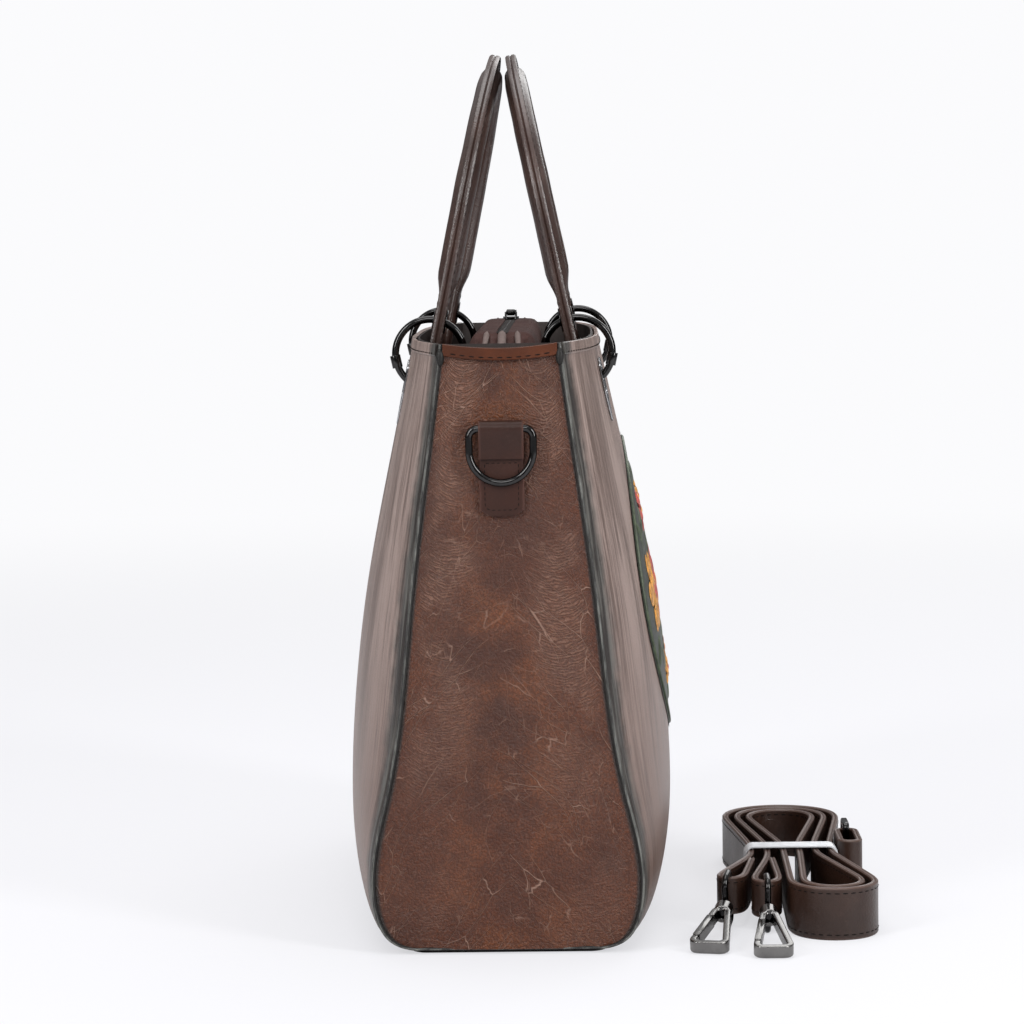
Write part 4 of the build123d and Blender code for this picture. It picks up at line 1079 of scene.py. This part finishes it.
class TOTE_OT_design(ToteStep, bpy.types.Operator):
    """Raised oval design of blooms and leaves on the front panel"""
    bl_idname = "tote.design"
    bl_label = "Front design"

    def execute(self, context):
        middle = 0.158
        wide = 0.098
        tall = 0.075

        def on_panel(x, z, lift):
            return Vector((x, -(wall_depth(x, z) + lift), z))

        def dome(name, paint, spots, lift, rings=7, spokes=28, nodes=()):
            """Domed oval patches on the panel: centre, half sizes, turn and base lift of each."""
            pieces = []
            for cx, cz, a, b, turn, base in spots:
                def place(u, v):
                    angle = -2 * pi * u
                    rim = 1 - v
                    px = a * rim * cos(angle)
                    pz = b * rim * sin(angle)
                    x = cx + px * cos(turn) - pz * sin(turn)
                    z = cz + px * sin(turn) + pz * cos(turn)
                    return on_panel(x, z, base + lift * sqrt(max(0.0, 1 - rim ** 2)))

                piece = shaped_grid(name, spokes, rings, place)
                mend(piece, False)
                pieces.append(piece)
            pick(pieces[0])
            for piece in pieces:
                piece.select_set(True)
            if len(pieces) > 1:
                bpy.ops.object.join()
            whole = bpy.context.object
            whole.name = name
            return settle(whole, paint, "bag", "motif", *nodes, angle=60.0)

        dome("design_field", "design_ground", [(0.0, middle, wide, tall, 0.0, 0.0004)], 0.0007, 14, 72,
             nodes=("front_motif",))
        rim_points = [(wide - 0.003, tall - 0.003, 2 * pi * step / 120) for step in range(121)]
        path = [on_panel(a * cos(t), middle + b * sin(t), 0.0005) for a, b, t in rim_points]
        border = sweep("design_border", path, lambda index: (0, -1, 0),
                       lambda index: round_outline(0.0010, 8), closed=True)
        settle(border, "design_leaf", "bag", "motif")
        petals = {"gold": [], "rose": []}
        eyes = {"gold": [], "rose": []}
        blooms = (
            (-0.058, 0.0, 0.021, "gold", 6), (0.0, 0.0, 0.021, "rose", 6), (0.058, 0.0, 0.021, "gold", 6),
            (-0.030, 0.038, 0.011, "rose", 5), (0.031, -0.039, 0.011, "rose", 5),
            (0.030, 0.040, 0.009, "gold", 5), (-0.031, -0.041, 0.009, "gold", 5),
        )
        for index, (cx, rise, size, kind, count) in enumerate(blooms):
            other = "rose" if kind == "gold" else "gold"
            for ring, (share, step, lift) in enumerate(((0.58, 0.0, 0.0010), (0.34, 0.5, 0.0015))):
                for petal in range(count):
                    turn = 2 * pi * (petal + step) / count + 0.3 * index
                    spot = (cx + share * size * cos(turn), middle + rise + share * size * sin(turn))
                    shape = (size * (0.44, 0.30)[ring], size * (0.29, 0.20)[ring])
                    petals[kind].append((*spot, *shape, turn, lift))
            eyes[other].append((cx, middle + rise, size * 0.2, size * 0.2, 0.0, 0.0019))
        for kind in ("gold", "rose"):
            dome(kind + "_petals", "design_" + kind, petals[kind], 0.0009, 5, 18)
            dome(kind + "_eyes", "design_" + kind, eyes[kind], 0.0008, 5, 14)
        # Place in one quarter, half sizes and turn of each leaf
        sprig = (
            (0.029, 0.021, 0.013, 0.0042, -0.56), (0.009, 0.034, 0.012, 0.0042, 0.9),
            (0.012, 0.054, 0.012, 0.0040, 0.3), (0.050, 0.034, 0.012, 0.0042, -0.5),
            (0.070, 0.028, 0.010, 0.0036, 0.8),
        )
        leaves = [
            (side * x, middle + rise * z, long, slim, side * rise * turn, 0.0008)
            for side in (-1, 1) for rise in (-1, 1) for x, z, long, slim, turn in sprig
        ]
        dome("leaves", "design_leaf", leaves, 0.0009, 5, 18)
        return {"FINISHED"}


def handle_frame(side):
    """Arch centre of a handle, and its in-plane up axis and outward normal."""
    sizes = handle_sizes()
    _, depth, height = JOINTS["front_handle_swing"]["pos_m"]
    radius = sizes.ring_radius
    hole = Vector((0.0, depth + radius * cos(HOLE_ANGLE), height + radius * sin(HOLE_ANGLE)))
    up = Vector((0.0, sin(HANDLE_LEAN), cos(HANDLE_LEAN)))
    out = Vector((0.0, -cos(HANDLE_LEAN), sin(HANDLE_LEAN)))
    centre = hole + up * sizes.arch_rise
    if side == REAR:
        flip = Vector((1, -1, 1))
        centre, up, out = centre * flip, up * flip, out * flip
    return centre, up, out


def handle_path(side, radius, step=0.003):
    """Path of the grip from one tab end over the arch to the other, with its outward directions."""
    sizes = handle_sizes()
    centre, up, out = handle_frame(side)
    right = Vector((1, 0, 0))
    foot = sizes.arch_rise + sizes.tab_tail
    legs = np.linspace(-foot, 0.0, int(foot / step) + 1)
    turns = np.linspace(pi, 0.0, int(pi * radius / step))
    rows = [(-radius, rise, -right) for rise in legs[:-1]]
    rows += [(radius * cos(t), radius * sin(t), right * cos(t) + up * sin(t)) for t in turns]
    rows += [(radius, rise, right) for rise in legs[-2::-1]]
    points = [centre + right * a + up * b for a, b, _ in rows]
    ways = [way for _, _, way in rows]
    drops = [min(0.0, b) for _, b, _ in rows]
    return points, ways, drops, foot


class TOTE_OT_handles(ToteStep, bpy.types.Operator):
    """Rolled handles with a sewn flange, flat tabs and grommets"""
    bl_idname = "tote.handles"
    bl_label = "Handles"

    def execute(self, context):
        sizes = handle_sizes()
        roll_place = sizes.ring_place - (sizes.flange_reach - sizes.roll_radius) / 2
        for side, name in FACES:
            body = name + "_handle"
            points, ways, drops, foot = handle_path(side, roll_place)

            def outline(index):
                """Keyhole section: roll, stitched groove and doubled flange."""
                drop = -drops[index]
                flat = ease((drop - 0.024) / 0.014)
                thick = sizes.roll_radius + (sizes.flange_half - sizes.roll_radius) * flat
                left = min(1.0, (foot - drop) / 0.005)
                cut = 0.005 * (1 - sqrt(max(0.0, 1 - (1 - left) ** 2)))
                half = sizes.flange_half
                reach = sizes.flange_reach - cut
                back = sizes.roll_radius - cut
                wave = 0.00025 * noise.noise(Vector(points[index]) * 60)
                start = asin(min(1.0, half / thick))
                ring = []
                for step in range(17):
                    angle = start + (2 * pi - 2 * start) * step / 16
                    ring.append((back * cos(angle) + wave, (thick + wave) * sin(angle)))
                upper = [
                    (reach - 0.0007, 0.0), (reach, half * 0.22), (reach, half * 0.7),
                    (reach - 0.0006, half), (reach * 0.88, half), (reach * 0.76, half * 0.9),
                    (back * cos(start) + 0.0012, half * 0.86 + (1 - 0.86) * half * flat),
                ]
                lower = [(a, -b) for a, b in reversed(upper[1:])]
                return upper + ring + lower

            piece = sweep(body + "_leather", points, lambda index: ways[index], outline)
            settle(piece, "handle_leather", body, "handle_leather", body, angle=50.0)
            metal_copy(body + "_grommets", name + "_grommets", 0.0003, body, "dark_nickel")
            centre, up, out = handle_frame(side)
            lines = []
            inner = [p + w * sizes.flange_reach * 0.80 for p, w in zip(points, ways)]
            for face in (1, -1):
                shift = out * face * (sizes.flange_half * 0.96)
                row = [point + shift for point in inner[3:-3]]
                lines.append((row, lambda spot, face=face, out=out: out * face))
            stitches(body + "_stitches", lines, body, "handle_leather")
        return {"FINISHED"}


class TOTE_OT_rings(ToteStep, bpy.types.Operator):
    """Carrying rings and the eyelets that they pass through"""
    bl_idname = "tote.rings"
    bl_label = "Rings"

    def execute(self, context):
        for face in ("front", "rear"):
            for end in ("left", "right"):
                name = f"{face}_{end}"
                metal_copy(name + "_ring", name + "_round_ring", 0.0004, name + "_ring", "dark_nickel")
                metal_copy(name + "_eyelet", name + "_slot_eyelet", 0.0003, "bag", "bright_nickel")
        return {"FINISHED"}


class TOTE_OT_d_rings(ToteStep, bpy.types.Operator):
    """Folded tabs on the gussets and the D-rings that hang in them"""
    bl_idname = "tote.d_rings"
    bl_label = "D-rings"

    def execute(self, context):
        half = body_sizes().bag_length / 2
        for side, name in ENDS:
            bar = Vector(JOINTS[name + "_d_ring_swing"]["pos_m"])
            low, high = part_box(name + "_ring_tab")
            thick = TAB_LEATHER
            loop = WIRE_RADIUS + thick
            face = half + thick
            bar_out = abs(bar.x)
            rows = [(face, low.z + step * (bar.z - low.z) / 16) for step in range(17)]
            for step in range(1, 14):
                angle = pi - pi * step / 13
                rows.append((bar_out + loop * cos(angle), bar.z + loop * sin(angle)))
            for step in range(1, 9):
                part = step / 8
                inwards = (face + 2 * thick - bar_out - loop) * ease(part) ** 0.7
                rows.append((bar_out + loop + inwards, bar.z - FOLD_REACH * part))
            path = [(side * x, 0.0, z) for x, z in rows]
            wide = (high.y - low.y) / 2

            def outline(index):
                rise = rows[index][1] - low.z
                corner = TAB_CORNER - min(TAB_CORNER, rise) if index < 17 else 0.0
                cut = TAB_CORNER - sqrt(max(0.0, TAB_CORNER ** 2 - corner ** 2))
                return band_outline(wide - cut, thick, 0.0002)

            tab = sweep(name + "_tab_leather", path, lambda index: (0, 1, 0), outline)
            settle(tab, "tab_leather", "bag", "edge_leather", name + "_ring_tab")
            metal_copy(name + "_d_ring", name + "_wire_d", 0.0, name + "_d_ring", "dark_nickel")
            sew = wide - 0.0026
            level = side * (half + 2 * thick)
            top = bar.z - FOLD_REACH - 0.0020
            base = low.z + 0.0026
            turn = 0.0030
            bends = np.linspace(0, pi / 2, 5)
            corner = [(level, sew - turn + turn * cos(a), base + turn - turn * sin(a)) for a in bends]
            other = [(x, -y, z) for x, y, z in corner[::-1]]
            sewn = [(level, sew, top), *corner, *other, (level, -sew, top)]
            cross = [(level, y, top) for y in (-sew, sew)]
            out = (side, 0.0, 0.0)
            lines = [(line, lambda spot: out) for line in (sewn, cross)]
            stitches(name + "_tab_stitches", lines, "bag", scale=0.62)
        return {"FINISHED"}


HANK = (-0.032, -0.139)
STRANDS = 6
END_PLACES = ((-0.100, -0.1055), (-0.109, -0.1225))
END_RADIUS = 0.0082
END_WIDTH = 0.018
END_LIFT = 0.0067


def strand_y(index):
    return HANK[1] + strap_sizes().strand_pitch * ((STRANDS - 1) / 2 - index)


def turn_points(first, second, centre, radius, edge_x, direction):
    """Route of one U-turn from a strand, round a loop centre and back on another strand."""
    start = Vector((edge_x, strand_y(first)))
    end = Vector((edge_x, strand_y(second)))
    middle = Vector(centre)

    def touch(point, sign):
        away = point - middle
        angle = atan2(away.y, away.x)
        return angle + sign * np.arccos(min(1.0, radius / away.length))

    upper = 1 if start.y > end.y else -1
    first_angle = touch(start, -upper * direction)
    last_angle = touch(end, upper * direction)
    sweep_angle = (last_angle - first_angle) % (2 * pi)
    if upper * direction > 0:
        sweep_angle -= 2 * pi
    steps = 26
    angles = [first_angle + sweep_angle * step / steps for step in range(steps + 1)]
    arc = [middle + radius * Vector((cos(angle), sin(angle))) for angle in angles]
    return [start, *arc, end]


def strap_route():
    """Plan of the whole strap from one hook end to the other, with the width share at each point."""
    sizes = strap_sizes()
    back_x = HANK[0] + sizes.tie_width
    front_x = HANK[0] - sizes.tie_width
    half = sizes.strap_thickness / 2

    def back(turn, first, second):
        centre = (back_x + sizes.back_reach - sizes.back_radius, HANK[1])
        radius = sizes.back_radius - turn * sizes.turn_pitch - half
        return turn_points(first, second, centre, radius, back_x, 1)

    def front(turn, first, second):
        centre = (front_x - sizes.front_reach + sizes.front_radius, HANK[1] - 0.0155)
        radius = sizes.front_radius - turn * sizes.turn_pitch - half
        return turn_points(first, second, centre, radius, front_x, -1)

    def end(index, outwards):
        centre = Vector(END_PLACES[index])
        neck = Vector((front_x, strand_y(index)))
        away = (neck - centre).normalized()
        side = Vector((-away.y, away.x))
        radius = END_RADIUS - half
        points = [neck + away * -0.012 - side * 0.0022]
        for step in range(21):
            angle = pi + radians(100) - radians(200) * step / 20
            points.append(centre + radius * (away * cos(angle) + side * sin(angle)))
        points.append(neck + away * -0.010 + side * 0.0004)
        points.append(neck)
        return points if outwards else points[::-1]

    route = end(0, True)
    route += back(0, 0, 5) + front(0, 5, 2) + back(2, 2, 3) + front(1, 3, 4) + back(1, 4, 1)
    ends = len(end(0, True))
    route += end(1, False)
    shares = [1.0 if ends <= index < len(route) - ends else 0.0 for index in range(len(route))]
    return route, shares


class TOTE_OT_strap(ToteStep, bpy.types.Operator):
    """Shoulder strap folded into a hank, its tie, buckle and buckle loop"""
    bl_idname = "tote.strap"
    bl_label = "Shoulder strap"

    def execute(self, context):
        sizes = strap_sizes()
        half = sizes.strap_thickness / 2
        route, shares = strap_route()
        flat = np.array([(p.x, p.y) for p in route])
        keep = [0]
        for index in range(1, len(flat)):
            if np.linalg.norm(flat[index] - flat[keep[-1]]) > 1e-5:
                keep.append(index)
        flat = flat[keep]
        share = np.array(shares)[keep]
        run = np.concatenate(([0.0], np.cumsum(np.linalg.norm(np.diff(flat, axis=0), axis=1))))
        count = 620
        even = np.linspace(0, run[-1], count)
        xs = np.interp(even, run, flat[:, 0])
        ys = np.interp(even, run, flat[:, 1])
        wide = np.interp(even, run, share)
        kernel = np.ones(7) / 7
        for _ in range(2):
            for line in (xs, ys, wide):
                line[3:-3] = np.convolve(line, kernel, mode="valid")
        middle = sizes.strap_width / 2
        low_middle = END_LIFT + END_WIDTH / 2
        centre_z = low_middle + (middle - low_middle) * wide
        half_width = END_WIDTH / 2 + (middle - END_WIDTH / 2) * wide
        path = [(x, y, z) for x, y, z in zip(xs, ys, centre_z)]
        strap = sweep(
            "strap_leather_band", path, lambda index: (0, 0, 1),
            lambda index: band_outline(half_width[index], half, 0.0004),
        )
        settle(strap, "strap_leather", "bag", "strap_leather", "shoulder_strap")
        lines = []
        for face in (1, -1):
            for edge in (1, -1):
                points = []
                for index in range(2, count - 2):
                    run_x = xs[index + 1] - xs[index - 1]
                    run_y = ys[index + 1] - ys[index - 1]
                    side = Vector((-run_y, run_x, 0)).normalized() * face
                    rise = edge * (half_width[index] - 0.0026)
                    points.append(Vector(path[index]) + side * half * 0.98 + Vector((0, 0, rise)))
                normals = np.array([tuple(p) for p in points])
                centres = np.array(path[2:count - 2])

                def normal_of(spot, normals=normals, centres=centres):
                    near = int(np.argmin(np.sum((normals - np.array(spot)) ** 2, axis=1)))
                    away = Vector(normals[near] - centres[near])
                    away.z = 0
                    return away

                lines.append((points, normal_of))
        stitches("strap_stitches", lines, "bag", "strap_leather")
        metal_copy("strap_buckle", "buckle_frame", 0.0007, "bag", "dark_nickel")
        low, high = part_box("strap_adjuster")
        round_radius = (high.y - low.y) / 2 - half
        straight = (high.x - low.x) / 2 - half - round_radius
        mid = (Vector(low) + Vector(high)) / 2
        loop = []
        for end, start in ((1, -pi / 2), (-1, pi / 2)):
            for step in range(17):
                angle = start + pi * step / 16
                x = mid.x + end * straight + round_radius * cos(angle)
                loop.append((x, mid.y + round_radius * sin(angle), mid.z))
        loop.append(loop[0])
        adjuster = sweep("buckle_loop", loop, lambda index: (0, 0, 1),
                         lambda index: band_outline(sizes.strap_width / 2, half, 0.0004), closed=True)
        settle(adjuster, "strap_leather", "bag", "strap_leather", "strap_adjuster")
        low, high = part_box("strap_tie")
        rim = []
        soft = 0.004
        for cy, cz, start in ((high.y - soft, high.z - soft, 0.0), (low.y + soft, high.z - soft, pi / 2)):
            for step in range(9):
                angle = start + pi / 2 * step / 8
                rim.append((HANK[0], cy + soft * cos(angle), cz + soft * sin(angle)))
        path = [(HANK[0], high.y, 0.0008 + (high.z - soft) * k / 6) for k in range(6)] + rim
        path += [(HANK[0], low.y, 0.0008 + (high.z - soft) * k / 6) for k in range(5, -1, -1)]
        across = np.linspace(-1, 1, 25)
        ribs = [
            (a * sizes.tie_width / 2, 0.0003 + 0.0005 * (0.5 + 0.5 * cos(3 * pi * a)) ** 2) for a in across
        ]
        ribbed = ribs + [(a, -0.0003) for a, _ in reversed(ribs)]
        tie = sweep("tie_band", path, lambda index: (1, 0, 0), lambda index: ribbed)
        settle(tie, "tie_film", "bag", "tie_band", "strap_tie")
        return {"FINISHED"}


class TOTE_OT_hooks(ToteStep, bpy.types.Operator):
    """Swivel snap hooks on the strap's ends"""
    bl_idname = "tote.hooks"
    bl_label = "Snap hooks"

    def execute(self, context):
        for name in ("inner", "outer"):
            metal_copy(name + "_hook_eye", name + "_swivel_eye", 0.0004, "bag", "dark_nickel")
            metal_copy(name + "_hook_body", name + "_snap_hook", 0.0, name + "_hook", "pale_nickel", True)
            metal_copy(name + "_hook_gate", name + "_snap_gate", 0.0008, name + "_gate", "pale_nickel")
        return {"FINISHED"}


class TOTE_OT_rim(ToteStep, bpy.types.Operator):
    """Narrow turned band round the rim"""
    bl_idname = "tote.rim"
    bl_label = "Rim band"

    def execute(self, context):
        sizes = body_sizes()
        half = sizes.bag_length / 2
        tall = sizes.rim_fold / 2
        level = sizes.bag_height - tall + 0.0003
        for side, name in ENDS:
            reach = wall_depth(half, level) - 0.0022
            ys = np.linspace(-reach, reach, 41)
            path = [(side * (half + 0.0006), y, level - rim_dip(y / reach)) for y in ys]
            band = sweep(name + "_rim_band", path, lambda index: (0, 0, 1),
                         lambda index: band_outline(tall, 0.0006, 0.0))
            settle(band, "rim_leather", "bag", "gusset_leather")
        for side, name in FACES:
            path = []
            ups = []
            for x in np.linspace(-half + 0.0010, half - 0.0010, 81):
                slope = (wall_depth(x, level + tall) - wall_depth(x, level - tall)) / (2 * tall)
                path.append((x, side * (wall_depth(x, level) + 0.0003), level))
                ups.append((0.0, side * slope, 1.0))
            band = sweep(name + "_rim_band", path, lambda index: ups[index],
                         lambda index: band_outline(tall, 0.0006, 0.0))
            settle(band, "panel_leather", "bag", "panel_leather")
        return {"FINISHED"}


class TOTE_OT_stitching(ToteStep, bpy.types.Operator):
    """Stitches under the rim"""
    bl_idname = "tote.stitching"
    bl_label = "Stitching"

    def execute(self, context):
        sizes = body_sizes()
        half = sizes.bag_length / 2
        level = sizes.bag_height - sizes.rim_stitch
        lines = []
        for side in (FRONT, REAR):
            xs = np.linspace(-half + 0.004, half - 0.004, 80)
            row = [(x, side * (wall_depth(x, level) + 0.0009), level) for x in xs]
            lines.append((row, lambda spot, side=side: (0, side, 0.2)))
        for end in (LEFT, RIGHT):
            reach = wall_depth(end * half, level) - 0.005
            ys = np.linspace(-reach, reach, 40)
            row = [(end * (half + 0.0012), y, level - rim_dip(y / reach)) for y in ys]
            lines.append((row, lambda spot, end=end: (end, 0, 0)))
        stitches("bag_stitches", lines, "bag")
        return {"FINISHED"}


class TOTE_OT_stage(ToteStep, bpy.types.Operator):
    """Pale floor, soft studio light and the camera"""
    bl_idname = "tote.stage"
    bl_label = "Stage"

    def execute(self, context):
        scene = context.scene
        scene.view_settings.view_transform = "Standard"
        bpy.ops.object.select_all(action="DESELECT")
        bpy.ops.mesh.primitive_plane_add(size=60.0)
        floor = context.object
        floor.name = "floor"
        paint = bpy.data.materials.new("pale_floor")
        tree = cleared(paint)
        out = tree.nodes.new("ShaderNodeOutputMaterial")
        matt = node(tree, "ShaderNodeBsdfDiffuse", {"Color": (0.66, 0.66, 0.68, 1.0)})
        where = tree.nodes.new("ShaderNodeTexCoord")
        spot = where.outputs["Object"]
        far = node(tree, "ShaderNodeVectorMath", {0: spot}, operation="LENGTH").outputs["Value"]
        away = spread(tree, far, 0.3, 2.2)
        shade = mixed(tree, away, (0.915, 0.915, 0.945), (0.965, 0.965, 0.980))
        glow = node(tree, "ShaderNodeEmission", {"Color": shade, "Strength": 1.0})
        path = tree.nodes.new("ShaderNodeLightPath")
        share = fused(tree, away, 0.35, 0.65)
        seen = times(tree, path.outputs["Is Camera Ray"], share)
        mix = node(tree, "ShaderNodeMixShader", {0: seen, 1: matt.outputs[0], 2: glow.outputs[0]})
        tree.links.new(mix.outputs[0], out.inputs[0])
        floor.data.materials.append(paint)

        world = bpy.data.worlds.new("studio")
        scene.world = world
        tree = cleared(world)
        out = tree.nodes.new("ShaderNodeOutputWorld")
        path = tree.nodes.new("ShaderNodeLightPath")
        where = tree.nodes.new("ShaderNodeTexCoord")
        height = node(tree, "ShaderNodeSeparateXYZ", {0: where.outputs["Generated"]}).outputs[2]
        dome = spread(tree, height, 0.0, 0.8, 0.10, 0.70)
        seen = path.outputs["Is Camera Ray"]
        strength = fused(tree, seen, calc(tree, "SUBTRACT", 0.98, dome), dome)
        sky = node(tree, "ShaderNodeBackground", {"Color": (0.985, 0.985, 1.0, 1.0), "Strength": strength})
        tree.links.new(sky.outputs[0], out.inputs[0])

        for name, place, wide, tall, power in LAMPS:
            lamp = bpy.data.lights.new(name, "AREA")
            lamp.shape = "RECTANGLE"
            lamp.size = wide
            lamp.size_y = tall
            lamp.energy = power
            item = bpy.data.objects.new(name, lamp)
            item.location = place
            item.rotation_euler = (LAMP_AIM - Vector(place)).to_track_quat("-Z", "Y").to_euler()
            scene.collection.objects.link(item)

        camera = bpy.data.cameras.new("camera")
        camera.sensor_width = 36.0
        camera.lens = CAMERA_LENS
        camera.clip_end = 100.0
        eye = bpy.data.objects.new("camera", camera)
        scene.collection.objects.link(eye)
        level = cos(CAMERA_PITCH)
        ahead = Vector((level * cos(CAMERA_YAW), level * sin(CAMERA_YAW), -sin(CAMERA_PITCH)))
        turn = ahead.to_track_quat("-Z", "Y").to_matrix() @ Matrix.Rotation(CAMERA_ROLL, 3, "Z")
        eye.matrix_world = Matrix.Translation(CAMERA_PLACE) @ turn.to_4x4()
        scene.camera = eye
        return {"FINISHED"}


STEPS = (
    TOTE_OT_panels, TOTE_OT_gussets, TOTE_OT_seams, TOTE_OT_base, TOTE_OT_zip, TOTE_OT_design,
    TOTE_OT_handles, TOTE_OT_rings, TOTE_OT_d_rings, TOTE_OT_strap, TOTE_OT_hooks,
    TOTE_OT_rim, TOTE_OT_stitching, TOTE_OT_stage,
)


class TOTE_PT_sidebar(bpy.types.Panel):
    """Lists the tote's steps in the sidebar"""
    bl_label = "Tote"
    bl_idname = "TOTE_PT_sidebar"
    bl_space_type = "VIEW_3D"
    bl_region_type = "UI"
    bl_category = "Tote"

    def draw(self, context):
        for step in STEPS:
            self.layout.operator(step.bl_idname)


SETTINGS = (
    ("tote_body", ToteBodySizes), ("tote_handles", ToteHandleSizes),
    ("tote_strap", ToteStrapSizes), ("tote_colours", ToteColours),
)


def register():
    for label, kind in SETTINGS:
        bpy.utils.register_class(kind)
        setattr(bpy.types.Scene, label, bpy.props.PointerProperty(type=kind))
    for kind in (*STEPS, TOTE_PT_sidebar):
        bpy.utils.register_class(kind)


def unregister():
    for kind in (TOTE_PT_sidebar, *reversed(STEPS)):
        bpy.utils.unregister_class(kind)
    for label, kind in reversed(SETTINGS):
        delattr(bpy.types.Scene, label)
        bpy.utils.unregister_class(kind)


def main():
    register()
    mix_paints()
    bpy.ops.tote.panels()
    bpy.ops.tote.gussets()
    bpy.ops.tote.seams()
    bpy.ops.tote.base()
    bpy.ops.tote.zip()
    bpy.ops.tote.design()
    bpy.ops.tote.handles()
    bpy.ops.tote.rings()
    bpy.ops.tote.d_rings()
    bpy.ops.tote.strap()
    bpy.ops.tote.hooks()
    bpy.ops.tote.rim()
    bpy.ops.tote.stitching()
    bpy.ops.tote.stage()


if __name__ == "__main__":
    main()
